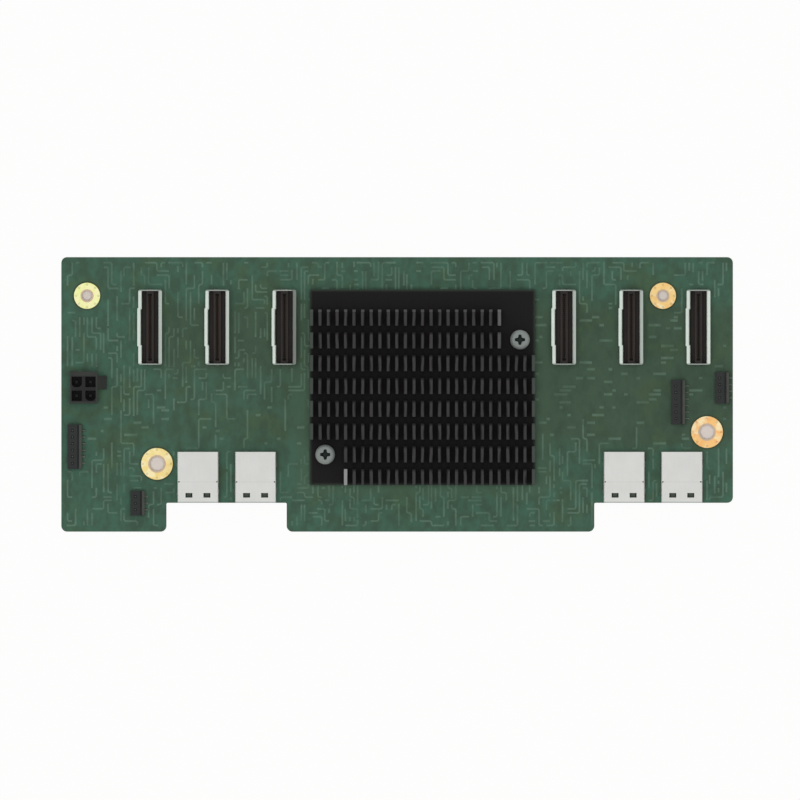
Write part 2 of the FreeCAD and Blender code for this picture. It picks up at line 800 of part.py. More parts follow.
def power_header():
    """Four-way power header: a body with four cells, two of them keyed, a latch ramp and four pins."""
    half = D.power_width / 2
    pin_places = power_pin_places()
    pin = D.power_pin
    pins = row_of_solids(
        "power_header_pins",
        [
            bar(px - pin / 2, py - pin / 2, -board_top(), pin, pin, board_top() + D.power_pin_top)
            for px, py in pin_places
        ],
        (D.power_x, D.power_y, board_top()),
    )
    body = new_body("power_header_shape")
    block = new_sketch(body)
    centred(block, 0, D.power_shift, D.power_width, D.power_depth)
    pad(body, block, D.power_height)
    latch = new_sketch(body, D.latch_low)
    latch_front = D.latch_back - D.latch_width / 2
    rectangle(latch, half - D.latch_root, latch_front, half + D.latch_out, latch_front + D.latch_width)
    pad(body, latch, D.latch_height)
    latch_out, latch_top = (half + D.latch_out).value, (D.latch_low + D.latch_height).value
    dress(
        body,
        "Chamfer",
        D.latch_slope,
        lambda edge: near(edge.CenterOfMass.x, latch_out) and near(edge.BoundBox.ZMin, latch_top),
    )
    cells = new_sketch(body, D.power_height)
    for px, py in pin_places:
        reach = D.cell_side / 2
        if px.value * py.value > 0:
            centred(cells, px, py, D.cell_side, D.cell_side)
        else:
            outline(
                cells,
                [
                    (px - reach + D.cell_cut, py - reach),
                    (px + reach - D.cell_cut, py - reach),
                    (px + reach, py - reach + D.cell_cut),
                    (px + reach, py + reach),
                    (px - reach, py + reach),
                    (px - reach, py - reach + D.cell_cut),
                ],
            )
    pocket(body, cells, D.cell_depth)
    put(body, D.power_x, D.power_y, board_top())
    finish("power_header_pins", pins)
    finish("power_header_body", cut("power_header_body", body, pins))


def side_header(name):
    """A small surface-mount header: a row of contact openings, a latch wall and bent pins with soldered tails."""
    count = int(getattr(D, f"{name}_pins").value)
    place = (getattr(D, f"{name}_x"), getattr(D, f"{name}_y"), board_top())
    length = D.header_pitch * (getattr(D, f"{name}_pins") - 1) + D.header_ends
    pin = D.header_pin
    rows = [D.header_pitch * (i - (count - 1) / 2) for i in range(count)]
    pin_x = D.header_row - pin / 2
    bent = []
    for row in rows:
        post = bar(pin_x, row - pin / 2, 0, pin, pin, D.header_pin_top)
        tail = bar(pin_x, row - pin / 2, 0, D.header_width / 2 + D.tail_out - pin_x, pin, D.tail_thick)
        bent.append(post.fuse(tail).removeSplitter().Solids[0])
    pins = row_of_solids(f"{name}_pins", bent, place)

    body = new_body(f"{name}_shape")
    block = new_sketch(body)
    centred(block, 0, 0, D.header_width, length)
    pad(body, block, D.header_height)
    openings = new_sketch(body, D.header_height)
    for row in rows:
        centred(openings, D.header_row, row, D.aperture, D.aperture)
    pocket(body, openings, D.aperture_depth)
    groove = new_sketch(body, D.header_height)
    groove_x = D.header_width / 2 - D.latch_wall - D.groove_width / 2
    centred(groove, groove_x, 0, D.groove_width, length + 1)
    pocket(body, groove, D.groove_depth)
    put(body, *place)
    finish(f"{name}_pins", pins)
    finish(f"{name}_body", cut(f"{name}_body", body, pins))


# Build and export

def build():
    fill_sheet()
    sockets, ports = socket_places(), port_places()
    circuit_board(sockets, ports)
    mount_pads()
    chip_stack()
    heat_sink()
    heat_sink_fasteners()
    for number, x in enumerate(sockets, start=1):
        socket_shell(number, x)
        socket_body(number, x)
        socket_contacts(number, x)
    for number, x in enumerate(ports, start=1):
        port_cage(number, x)
        port_body(number, x)
        port_contacts(number, x)
    power_header()
    for name, _, _, _ in SIDE_HEADERS:
        side_header(name)
    doc.recompute()


def check_and_export():
    """Stops on any failed object or bad solid, then writes one STEP file for each node."""
    for thing in doc.Objects:
        if "Invalid" in thing.State or "Error" in thing.State:
            raise RuntimeError(f"{thing.Label} failed: {thing.State}")
    for label, thing in finished.items():
        shape = thing.Shape
        if shape.isNull() or not shape.isValid() or not shape.Solids:
            raise RuntimeError(f"{label} has no valid solid")
    os.makedirs("parts", exist_ok=True)
    for label, thing in finished.items():
        thing.Shape.exportStep(f"parts/{label}.step")
        print(f"{label}: {len(thing.Shape.Solids)} solids, {thing.Shape.Volume:.1f} mm3")


build()
check_and_export()
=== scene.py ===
import json
import math
import random
from contextlib import contextmanager

import bpy
from bpy.props import FloatProperty, FloatVectorProperty, IntProperty, PointerProperty
from mathutils import Matrix, Vector


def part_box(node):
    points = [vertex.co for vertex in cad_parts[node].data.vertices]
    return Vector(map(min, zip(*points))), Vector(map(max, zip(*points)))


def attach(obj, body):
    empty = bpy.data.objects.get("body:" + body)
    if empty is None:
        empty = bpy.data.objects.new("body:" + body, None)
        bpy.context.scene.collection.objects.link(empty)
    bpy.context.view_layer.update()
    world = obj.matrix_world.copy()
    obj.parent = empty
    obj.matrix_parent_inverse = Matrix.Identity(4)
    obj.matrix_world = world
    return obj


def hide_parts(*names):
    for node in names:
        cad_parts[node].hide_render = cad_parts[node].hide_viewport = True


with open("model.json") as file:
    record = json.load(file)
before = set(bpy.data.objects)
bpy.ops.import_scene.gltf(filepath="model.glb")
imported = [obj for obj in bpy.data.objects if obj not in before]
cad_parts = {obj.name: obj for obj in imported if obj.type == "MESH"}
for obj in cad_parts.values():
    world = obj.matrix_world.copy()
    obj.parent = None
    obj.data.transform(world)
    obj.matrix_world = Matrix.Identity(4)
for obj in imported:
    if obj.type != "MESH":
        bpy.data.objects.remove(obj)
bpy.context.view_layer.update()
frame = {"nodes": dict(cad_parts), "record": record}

bl_info = {
    "name": "Server Midplane Board",
    "version": (1, 0, 0),
    "blender": (4, 5, 0),
    "location": "3D View > Sidebar > Midplane",
    "description": "Models and finishes the pieces of a server midplane board around its fixed frame",
    "category": "Object",
}

MM = 0.001
BOARD_LOW, BOARD_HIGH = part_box("circuit_board")
TOP, UNDER = BOARD_HIGH.z, BOARD_LOW.z
BORES = [
    (Vector(mount["pos_m"]), mount["dims"]["r_mm"] * MM)
    for mount in frame["record"]["mounts"]
    if mount["kind"] == "bore"
]
SOCKETS, PORTS = range(1, 7), range(1, 5)
SIDE_HEADERS = ("left_header", "corner_header", "bus_header", "right_header")


def length(name, description, millimetres):
    """A length property with its default given in millimetres."""
    return FloatProperty(
        name=name, description=description, default=millimetres * MM, min=0, precision=5, unit="LENGTH"
    )


def pair(name, description, *millimetres):
    """Two places on the board, with their defaults given in millimetres."""
    default = [place * MM for place in millimetres]
    return FloatVectorProperty(
        name=name, description=description, default=default, size=2, subtype="TRANSLATION"
    )


def colour(name, description, rgb):
    """A colour property."""
    return FloatVectorProperty(name=name, description=description, default=rgb, subtype="COLOR", min=0, max=1)


def amount(name, description, default, subtype="NONE"):
    """A strength, factor or angle property."""
    return FloatProperty(name=name, description=description, default=default, subtype=subtype)


def whole(name, description, default):
    """A whole number property."""
    return IntProperty(name=name, description=description, default=default)


# Settings

class BoardSettings(bpy.types.PropertyGroup):
    """The laminate, its solder mask and the copper traces under the mask."""

    trace_width: length("Trace width", "Width of a copper trace", 0.85)
    land_width: length("Land width", "Width of a short copper land under the mask", 1.2)
    trace_height: length("Trace height", "How far a trace lifts the solder mask", 0.03)
    trace_step: length("Trace step", "Spacing of the routing grid", 1.25)
    trace_tries: whole("Trace tries", "Routes tried on each face", 2200)
    calm_left: pair("Calm band, left", "Depth of the left half with lands in place of traces", -15, -3)
    calm_right: pair("Calm band, right", "Depth of the right half with lands in place of traces", -16, 27)
    seed: whole("Seed", "Seed of the routing", 11)
    mask: colour("Solder mask", "Solder mask over bare laminate", (0.047, 0.113, 0.077))
    mask_grey: colour("Grey solder mask", "Solder mask over the inner copper planes", (0.048, 0.085, 0.054))
    mask_olive: colour("Olive solder mask", "Yellowish patches of the solder mask", (0.054, 0.089, 0.042))
    mask_dark: colour("Dark solder mask", "Mask at the clearance round a pad", (0.024, 0.038, 0.018))
    trace: colour("Trace", "Solder mask over copper", (0.098, 0.156, 0.118))
    laminate: colour("Laminate", "Cut edge of the board", (0.33, 0.31, 0.17))
    copper: colour("Copper layers", "Inner copper layers at the cut edge", (0.30, 0.13, 0.05))


class PadSettings(bpy.types.PropertyGroup):
    """The plated pads round the mounting holes."""

    small_rim: length("Small pad", "Radius of the pads round the smaller holes", 4.0)
    large_rim: length("Large pad", "Radius of the pads round the larger holes", 4.85)
    lip: length("Lip", "Lip of a plated barrel on the pad", 0.42)
    plating: length("Plating", "Plating on the wall of a hole", 0.06)
    crown: length("Crown", "Rounding of a pad's rim", 0.05)
    via_count: whole("Vias", "Small plated holes round a pad", 8)
    via_radius: length("Via", "Radius of a small plated hole", 0.46)
    pale: colour("Pale gold", "Pad at the back left", (0.90, 0.89, 0.44))
    warm: colour("Warm gold", "Pad at the front right", (0.93, 0.56, 0.21))
    lemon: colour("Lemon tarnish", "Deeper spots of the paler pads", (0.80, 0.86, 0.30))
    orange: colour("Orange tarnish", "Deeper spots of the warmer pads", (0.93, 0.47, 0.17))
    # Painted highlight: the cream spots on the pads.
    highlight_cream: colour("Cream", "Bright spots of the pads", (0.95, 0.86, 0.56))
    plug_shade: amount("Plug shade", "Brightness of the filled holes against their pad", 0.8, "FACTOR")
    barrel: colour("Barrel", "Plating in and round the holes", (0.62, 0.47, 0.33))


class HeatSinkSettings(bpy.types.PropertyGroup):
    """The extruded heat sink."""

    columns: whole("Columns", "Fins from left to right", 27)
    rows: whole("Rows", "Rows between the cross cuts", 8)
    bay_columns: whole("Bay columns", "Fin columns left out round a screw", 4)
    bay_rows: whole("Bay rows", "Fin rows left out round a screw", 2)
    base: length("Base", "Thickness of the base plate", 4.0)
    fin: length("Fin", "Thickness of a fin", 1.1)
    fin_length: length("Fin length", "Length of a fin between two cross cuts", 5.0)
    fin_root: length("Fin root", "How far a fin reaches into the base plate", 0.3)
    plain_strip: length("Plain strip", "Finless strip along the back edge", 6.1)
    edge: length("Edge", "Rounding of the fins", 0.18)
    plate_edge: length("Plate edge", "Rounding of the base plate", 0.25)
    black: colour("Anodised black", "Dyed aluminium", (0.0078, 0.0070, 0.0070))
    # The tip colour is part wear and part painted highlight, laid in a streak along each fin top.
    tip: colour("Fin tips", "Worn tops of the fins", (0.041, 0.039, 0.040))
    # The rim makes the plate's outer edge lighter and greener than the black, over the rim width.
    rim: colour("Rim", "Outer edge of the base plate, where the dye is thin", (0.042, 0.060, 0.046))
    rim_width: length("Rim width", "How far the thin dye reaches in from the edge", 1.0)
    # Painted light: the two outer columns of fins take this lighter, greener colour.
    outer: colour("Outer fins", "Fins along both sides", (0.053, 0.067, 0.057))
    # Painted glint: this pale grey brightens single fins beside the bays.
    bare: colour("Bare fins", "Fins beside the bays, where the dye is rubbed off", (0.25, 0.25, 0.25))


class FastenerSettings(bpy.types.PropertyGroup):
    """Screws, springs and nuts that hold the heat sink."""

    head: length("Head", "Screw head radius", 3.0)
    shank: length("Shank", "Screw shank radius", 1.5)
    clearance: length("Clearance", "Play of a shank in the heat sink", 0.5)
    head_height: length("Head height", "Screw head", 1.9)
    recess: length("Recess", "Cross recess, tip to tip", 3.1)
    recess_arm: length("Recess arm", "Cross recess, one arm at the middle", 1.5)
    recess_depth: length("Recess depth", "Cross recess", 1.2)
    wire: length("Wire", "Spring wire radius", 0.28)
    coil: length("Coil", "Spring radius at the middle of the wire", 2.3)
    turns: whole("Turns", "Turns of a spring", 4)
    zinc: colour("Zinc", "Plated steel", (0.235, 0.262, 0.248))
    # Painted shade: the faces down in each screw's cross recess take this near-black.
    oxide: colour("Oxide", "Dark film in the cross recess", (0.012, 0.018, 0.016))


class ConnectorSettings(bpy.types.PropertyGroup):
    """Sockets, ports and headers."""

    latch_wall: length("Latch wall", "Latch wall of a small header", 0.95)
    sheet_edge: length("Sheet edge", "Rounding of formed sheet edges", 0.09)
    shell_corner: length("Shell corner", "Bend at the corners of a socket shell", 0.6)
    fold: length("Fold", "Front edge of a cage to the fold across its roof", 6.4)
    # Painted shade: how dark the right-hand lip of each socket is painted.
    painted_lip_shade: FloatVectorProperty(
        name="Dull lips", description="How dull the tin is on the right-hand lip of each socket",
        default=(0.45, 0.3, 1.0, 0.5, 0.5, 0.0), size=6, min=0, max=1, subtype="NONE",
    )
    resin_edge: length("Resin edge", "Rounding of moulded edges", 0.12)
    pin_edge: length("Pin edge", "Rounding of the header pins", 0.08)
    pin: length("Pin", "Width of a small header's pin", 0.5)
    pin_pitch: length("Pin pitch", "Pin to pin of a small header", 2.0)
    blade_pitch: length("Blade pitch", "Socket contact to contact", 0.6)
    blade_width: length("Blade width", "Socket contact", 0.32)
    blade_thick: length("Blade thickness", "Contact of a socket or a port", 0.2)
    port_pitch: length("Port pitch", "Port contact to contact", 0.8)
    port_blade: length("Port blade", "Port contact width", 0.4)
    slot_height: length("Slot height", "Card slot of a port", 1.5)
    slot_rise: length("Slot rise", "Card slot to card slot of a port", 3.2)
    tongue_width: length("Tongue width", "Latch tongue under a cage window", 1.4)
    tongue_thick: length("Tongue thickness", "Latch tongue under a cage window", 0.25)
    tin: colour("Tin plate", "Tin-plated sheet", (0.675, 0.68, 0.655))
    # Painted shade along the front edge of each cage.
    front_edge_shade: colour("Hem", "Sheared front edge of a cage", (0.38, 0.405, 0.385))
    shell: colour("Shell", "Tin-plated shell of the sockets", (0.64, 0.71, 0.65))
    insert: colour("Insert", "Dark brown moulded inserts of the sockets", (0.0315, 0.0275, 0.0255))
    resin: colour("Resin", "Black moulded resin of the ports", (0.034, 0.037, 0.035))
    power: colour("Power resin", "Black moulded resin of the power header", (0.030, 0.033, 0.030))
    header: colour("Header resin", "Black moulded resin of the small headers", (0.024, 0.026, 0.026))
    latch: colour("Latch", "Grey latch strip of the small headers", (0.053, 0.056, 0.049))
    gold: colour("Contact gold", "Gold flash on the contacts", (0.16, 0.105, 0.085))
    solder: colour("Solder", "Solder", (0.62, 0.62, 0.60))
    # Painted shade: the latch tongues inside the cages and the pins inside the small headers take this dark
    # grey.
    dull: colour("Dull tin", "Tinned pins that have gone grey", (0.068, 0.080, 0.066))
    # Painted shade on the pins and inside the cells of the power header.
    shaded: colour("Shaded tin", "Tarnished pins inside the headers", (0.012, 0.012, 0.012))
    tail: colour("Tail tin", "Tinned tails of the small headers", (0.10, 0.13, 0.105))


class StageSettings(bpy.types.PropertyGroup):
    """Floor, light and camera."""

    view_width: length("View width", "Width of the picture at the board", 244.2)
    aim: pair("Aim", "Point of the board in the middle of the picture", 0.885, -1.709)
    height: length("Camera height", "Camera above the board", 600)
    key: amount("Key", "Strength of the overhead lamp", 1.95)
    softness: amount("Softness", "Width of the overhead lamp", 0.3, "ANGLE")
    lean: amount("Lean", "Tilt of the overhead lamp", 0.03, "ANGLE")
    ambient: amount("Ambient", "Strength of the sky on matt surfaces", 0.4)
    floor: colour("Floor", "Pale floor", (0.76, 0.71, 0.67))
    glow: amount("Glow", "Share of plain white in the floor beside the board", 0.94, "FACTOR")


# Modelling steps

def select_only(*pieces):
    """Makes these the whole selection, and the first of them active."""
    bpy.ops.object.select_all(action="DESELECT")
    for piece in pieces:
        piece.select_set(True)
    if pieces:
        bpy.context.view_layer.objects.active = pieces[0]


@contextmanager
def editing(piece, elements="EDGE", chosen=None):
    """Edit mode on one piece: all of it selected, or the points or edges whose places pass a test."""
    select_only(piece)
    bpy.ops.object.mode_set(mode="EDIT")
    bpy.ops.mesh.select_mode(type=elements)
    bpy.ops.mesh.select_all(action="DESELECT" if chosen else "SELECT")
    if chosen:
        bpy.ops.object.mode_set(mode="OBJECT")
        points = piece.data.vertices
        if elements == "VERT":
            for point in points:
                point.select = chosen(point.co)
        else:
            for edge in piece.data.edges:
                edge.select = chosen(*(points[i].co for i in edge.vertices))
        bpy.ops.object.mode_set(mode="EDIT")
    yield
    bpy.ops.object.mode_set(mode="OBJECT")


def added(name):
    """Names the primitive that was just added, and moves its place into its mesh."""
    piece = bpy.context.active_object
    piece.name = piece.data.name = name
    bpy.ops.object.transform_apply(location=True, rotation=True, scale=True)
    return piece


def apply_modifier(piece, kind, **settings):
    modifier = piece.modifiers.new(kind.title(), kind)
    for name, value in settings.items():
        setattr(modifier, name, value)
    select_only(piece)
    bpy.ops.object.modifier_apply(modifier=modifier.name)


def repeat(piece, count, step):
    """Repeats a piece within its own mesh, one step after another."""
    apply_modifier(
        piece, "ARRAY", count=count, use_relative_offset=False, use_constant_offset=True,
        constant_offset_displace=step,
    )


def smooth(piece):
    select_only(piece)
    bpy.ops.object.shade_smooth_by_angle(angle=math.radians(35))


def turn_outwards():
    """In edit mode: makes every face point out of the piece."""
    bpy.ops.mesh.select_all(action="SELECT")
    bpy.ops.mesh.normals_make_consistent(inside=False)


def round_edges(piece, width, segments=2):
    """Rounds every sharp edge, as tumbling or a mould radius does, and keeps the flat faces flat."""
    sliver = 0.005 * MM
    apply_modifier(
        piece, "BEVEL", width=width, segments=segments, limit_method="ANGLE", angle_limit=math.radians(30)
    )
    with editing(piece):
        bpy.ops.mesh.remove_doubles(threshold=sliver)
        bpy.ops.mesh.dissolve_degenerate(threshold=sliver)
    smooth(piece)
    apply_modifier(piece, "WEIGHTED_NORMAL", keep_sharp=True)


def block(name, low, high):
    """A box between two corners."""
    low, high = Vector(low), Vector(high)
    select_only()
    bpy.ops.mesh.primitive_cube_add(size=1, location=(low + high) / 2, scale=high - low)
    return added(name)


def lathe(name, profile, steps=64, closed=False):
    """Turns (radius, height) points about the Z axis: a circle, extruded from ring to ring and closed."""
    (radius, height), others = profile[0], profile[1:]
    select_only()
    bpy.ops.mesh.primitive_circle_add(vertices=steps, radius=radius, location=(0, 0, height))
    piece = added(name)
    with editing(piece):
        for next_radius, next_height in others:
            bpy.ops.mesh.extrude_region_move(TRANSFORM_OT_translate={"value": (0, 0, next_height - height)})
            scale = next_radius / radius
            bpy.ops.transform.resize(value=(scale, scale, 1), center_override=(0, 0, next_height))
            radius, height = next_radius, next_height
        bpy.ops.mesh.select_all(action="SELECT")
        if closed:
            bpy.ops.mesh.remove_doubles(threshold=0.0001 * MM)
        else:
            bpy.ops.mesh.fill_holes(sides=0)
        turn_outwards()
    smooth(piece)
    return piece


def clone(piece, name, move=(0, 0, 0), turn=0.0):
    """A copy with its own mesh, turned about Z and moved."""
    copy = bpy.data.objects.new(name, piece.data.copy())
    copy.data.name = name
    copy.data.transform(Matrix.Translation(Vector(move)) @ Matrix.Rotation(turn, 4, "Z"))
    bpy.context.scene.collection.objects.link(copy)
    return copy


def discard(piece):
    bpy.data.objects.remove(piece)


def set_out(model, places):
    """Copies a model to each of these places and throws the model away."""
    copies = [clone(model, model.name, place) for place in places]
    discard(model)
    return copies


def join(name, pieces):
    """Joins the pieces into the first of them."""
    first, *others = pieces
    select_only(first, *others)
    bpy.ops.object.join()
    first.name = first.data.name = name
    return first


def carve(piece, cutter):
    """Takes the cutter's shape out of the piece."""
    apply_modifier(piece, "BOOLEAN", operation="DIFFERENCE", object=cutter, solver="EXACT")
    discard(cutter)


def node_copy(node, name):
    """A copy of a frame node as one merged mesh with whole flat faces, ready to be rounded."""
    piece = bpy.data.objects.new(name, frame["nodes"][node].data.copy())
    piece.data.materials.clear()
    bpy.context.scene.collection.objects.link(piece)
    with editing(piece):
        bpy.ops.mesh.remove_doubles(threshold=0.002 * MM)
        bpy.ops.mesh.dissolve_limited(angle_limit=math.radians(0.5))
    return piece


def ready(piece, material, slot, *nodes):
    """Gives a finished piece its material and its body, and hides the nodes that it stands for. The slot is
    not used.
    """
    piece.data.materials.clear()
    piece.data.materials.append(material)
    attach(piece, "root")
    if nodes:
        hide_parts(*nodes)


def rounded_node(node, name, edge, material, slot, segments=2):
    """Puts a rounded copy in the place of one node."""
    piece = node_copy(node, name)
    round_edges(piece, edge, segments)
    ready(piece, material, slot, node)


def rounded_nodes(pattern, numbers, name, edge, material, slot, form=None):
    """Forms and rounds the first of a row of like nodes and puts a copy in the place of each."""
    first_low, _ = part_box(pattern.format(numbers[0]))
    model = node_copy(pattern.format(numbers[0]), name)
    if form:
        form(model)
    round_edges(model, edge)
    for number in numbers:
        node = pattern.format(number)
        low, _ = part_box(node)
        ready(clone(model, name.format(number), low - first_low), material, slot, node)
    discard(model)


# Shader expressions

class Signal:
    """A shader value. Arithmetic on it adds Math nodes to its tree."""

    def __init__(self, finish, socket):
        self.finish = finish
        self.socket = socket

    def _math(self, operation, first, second=0.0):
        return self.finish.node("ShaderNodeMath", {"operation": operation}, {0: first, 1: second})

    def __add__(self, other):
        return self._math("ADD", self, other)

    def __radd__(self, other):
        return self._math("ADD", other, self)

    def __sub__(self, other):
        return self._math("SUBTRACT", self, other)

    def __rsub__(self, other):
        return self._math("SUBTRACT", other, self)

    def __mul__(self, other):
        return self._math("MULTIPLY", self, other)

    def __rmul__(self, other):
        return self._math("MULTIPLY", other, self)

    def __abs__(self):
        return self._math("ABSOLUTE", self)

    def sine(self):
        return self._math("SINE", self)

    def distance(self, spot):
        """How far this place is from a spot, in millimetres."""
        sockets = {0: self, 1: spot}
        return self.finish.node("ShaderNodeVectorMath", {"operation": "DISTANCE"}, sockets, output="Value")

    def rise(self, low, high):
        """0 below low, 1 above high, smooth in between."""
        sockets = {"Value": self, "From Min": low, "From Max": high}
        return self.finish.node("ShaderNodeMapRange", {"interpolation_type": "SMOOTHSTEP"}, sockets)

    def near(self, middle, reach, fade):
        """1 within reach of the middle, 0 past the fade, smooth in between."""
        return 1 - abs(self - middle).rise(reach, reach + fade)


class Finish:
    """A material in the making: a Principled shader and the nodes that feed it."""

    def __init__(self, name, **constants):
        self.material = bpy.data.materials.new(name)
        self.material.use_nodes = True
        self.tree = self.material.node_tree
        self.tree.nodes.clear()
        self.shader = self.tree.nodes.new("ShaderNodeBsdfPrincipled")
        self.output = self.tree.nodes.new("ShaderNodeOutputMaterial")
        self.tree.links.new(self.shader.outputs[0], self.output.inputs["Surface"])
        for socket, value in constants.items():
            self.shader.inputs[socket.replace("_", " ")].default_value = value
        self.place = self.scaled(self.node("ShaderNodeTexCoord", output="Object"), 1 / MM)

    def node(self, kind, settings=None, sockets=None, output=0):
        """Adds a node: its settings first, then the values or links of its sockets. Returns one output."""
        node = self.tree.nodes.new(kind)
        for name, value in (settings or {}).items():
            setattr(node, name, value)
        for name, value in (sockets or {}).items():
            if isinstance(value, Signal):
                self.tree.links.new(value.socket, node.inputs[name])
            else:
                node.inputs[name].default_value = value
        return Signal(self, node.outputs[output])

    def feed(self, **signals):
        """Links signals to the shader's sockets of these names. Returns the finished material."""
        for socket, signal in signals.items():
            self.tree.links.new(signal.socket, self.shader.inputs[socket.replace("_", " ")])
        return self.material

    def scaled(self, vector, factor):
        """A place or a colour times a factor."""
        return self.node("ShaderNodeVectorMath", {"operation": "SCALE"}, {"Vector": vector, "Scale": factor})

    def stretched(self, factors):
        """The place times a factor along each axis."""
        return self.node("ShaderNodeVectorMath", {"operation": "MULTIPLY"}, {0: self.place, 1: factors})

    def axis(self, letter):
        """One coordinate of the surface, in millimetres."""
        return self.node("ShaderNodeSeparateXYZ", sockets={0: self.place}, output=letter)

    def facing(self, letter):
        """One component of the surface normal."""
        normal = self.node("ShaderNodeNewGeometry", output="Normal")
        return self.node("ShaderNodeSeparateXYZ", sockets={0: normal}, output=letter)

    def noise(self, size, detail=2.0, stretch=(1.0, 1.0, 1.0)):
        """Noise from 0 to 1 with a grain of about this many millimetres, drawn out along the axes."""
        grain = self.stretched(tuple(1 / (size * share) for share in stretch))
        return self.node("ShaderNodeTexNoise", sockets={"Vector": grain, "Scale": 1.0, "Detail": detail})

    def mix(self, share, first, second):
        """A colour between two colours."""
        first, second = (c if isinstance(c, Signal) else (*c, 1.0) for c in (first, second))
        return self.node("ShaderNodeMix", {"data_type": "RGBA"}, {0: share, 6: first, 7: second}, output=2)

    def bump(self, height, depth):
        """A normal from a height signal, with its depth in millimetres."""
        sockets = {"Height": height, "Distance": depth * MM}
        return self.node("ShaderNodeBump", sockets=sockets, output="Normal")


# Finishes

def tint(rgb, share):
    """A lighter or darker shade of a colour."""
    return tuple(min(1.0, channel * share) for channel in rgb)


def in_millimetres(node):
    """The middle and the half sizes of a node's box."""
    low, high = (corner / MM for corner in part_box(node))
    return (low + high) / 2, (high - low) / 2


def mask_colour(finish, board):
    """Solder mask: greyer over the inner copper planes, patched and mottled, and painted paler beside the
    heat sink, painted light that lifts the sink's shade.
    """
    x, y = finish.axis("X"), finish.axis("Y")
    # Bands in millimetres in which the planes begin, end and grow denser
    left, front, back = (-82, -66), (-22, -10), (23, 32)
    dense_right, dense_back = (-10, 40), (2, 12)
    planes = x.rise(*left) * y.rise(*front) * (1 - y.rise(*back))
    planes = planes * (0.4 + (x.rise(*dense_right) + y.rise(*dense_back)).rise(0, 1) * 0.6)
    ragged = planes + (finish.noise(14, 3) - 0.5) * 0.9
    olive = finish.noise(9, 2).rise(0.5, 0.7)
    mottle = finish.noise(2.4, 3, (1, 1.6, 1)).rise(0.3, 0.7)
    # Painted light: a paler band round the heat sink lifts the shade that the sink casts on the board.
    middle, half = in_millimetres("heat_sink")
    sink_front, sink_back = middle.y - half.y, middle.y + half.y
    beside = x.near(middle.x, half.x, 8) * y.rise(sink_front - 6, sink_front)
    beside = beside * (1 - y.rise(sink_back - 8, sink_back))
    mask = finish.mix(ragged.rise(0.05, 0.95), board.mask, board.mask_grey)
    mask = finish.mix(olive * 0.65, mask, board.mask_olive)
    mask = finish.mix(mottle * 0.7, mask, tint(board.mask_grey, 0.75))
    return finish.mix(beside * 0.7, mask, tint(board.mask_grey, 1.3))


def solder_mask_finish(board, rings):
    """Solder mask over glass cloth, dark round the pads. The cut edges show bare laminate and its layers."""
    finish = Finish("solder mask", Specular_IOR_Level=0.2)
    mask = mask_colour(finish, board)
    flat = finish.stretched((1, 1, 0))
    for spot, _, rim in rings:
        reach = flat.distance((spot.x / MM, spot.y / MM, 0))
        clearance = 1 - reach.rise(rim / MM + 0.1, rim / MM + 0.8)
        mask = finish.mix(clearance * 0.8, mask, board.mask_dark)
    edge = 1 - abs(finish.facing("Z")).rise(0.4, 0.6)
    layers = (finish.axis("Z") * 16.0).sine().rise(0.7, 0.95)
    fibres = finish.noise(0.4, 3, (6, 6, 1))
    laminate = finish.mix(layers * 0.9, board.laminate, board.copper)
    laminate = finish.mix(fibres * 0.5, laminate, tint(board.laminate, 0.7))
    weave = (finish.axis("X") * 9.0).sine() * (finish.axis("Y") * 9.0).sine()
    return finish.feed(
        Base_Color=finish.mix(edge, mask, laminate),
        Roughness=0.36 + finish.noise(12, 3) * 0.16 + edge * 0.25,
        Normal=finish.bump(weave * 0.3 + finish.noise(0.9, 3), 0.012),
    )


def trace_finish(board):
    """Solder mask over copper: lighter on the crown of a trace, fainter where the mask lies thick, with
    brighter spots that are painted glints.
    """
    finish = Finish("masked copper", Specular_IOR_Level=0.2)
    middle, half = in_millimetres("circuit_board")
    lift = board.trace_height / MM
    crown = abs(finish.axis("Z") - middle.z).rise(half.z + lift * 0.45, half.z + lift * 1.05)
    # The first noise follows the mask's thickness; the second adds brighter spots, painted glints.
    thin = 0.5 + finish.noise(7, 3).rise(0.35, 0.65) * 0.6 + finish.noise(4, 2).rise(0.55, 0.7) * 0.6
    mask = mask_colour(finish, board)
    copper = finish.mix(0.6, finish.scaled(mask, 1.6), board.trace)
    return finish.feed(
        Base_Color=finish.mix(crown * thin, mask, copper),
        Roughness=0.36 + finish.noise(12, 3) * 0.16,
    )


def pad_finish(name, pads, shade):
    """Gold over nickel and copper, warmer from the back left to the front right, finely polished, with
    painted highlights in cream spots.
    """
    finish = Finish(name, Specular_IOR_Level=0.4)
    warm = (finish.axis("X") * 0.0039 - finish.axis("Y") * 0.0078 + 0.6).rise(0, 1)
    stain, bright = finish.noise(2.0, 4), finish.noise(2.6, 2)
    tarnish = finish.mix(warm, pads.lemon, pads.orange)
    gold = finish.mix(warm, pads.pale, pads.warm)
    gold = finish.mix(stain.rise(0.46, 0.64) * 0.8, gold, tarnish)
    # Painted highlights: cream spots where the second noise is high.
    gold = finish.mix(bright.rise(0.5, 0.66) * 0.7, gold, pads.highlight_cream)
    return finish.feed(
        Base_Color=finish.scaled(gold, shade),
        Metallic=0.55 + stain * 0.25,
        Roughness=0.30 + finish.noise(0.5, 3) * 0.18,
        Normal=finish.bump(finish.noise(0.25, 2), 0.004),
    )


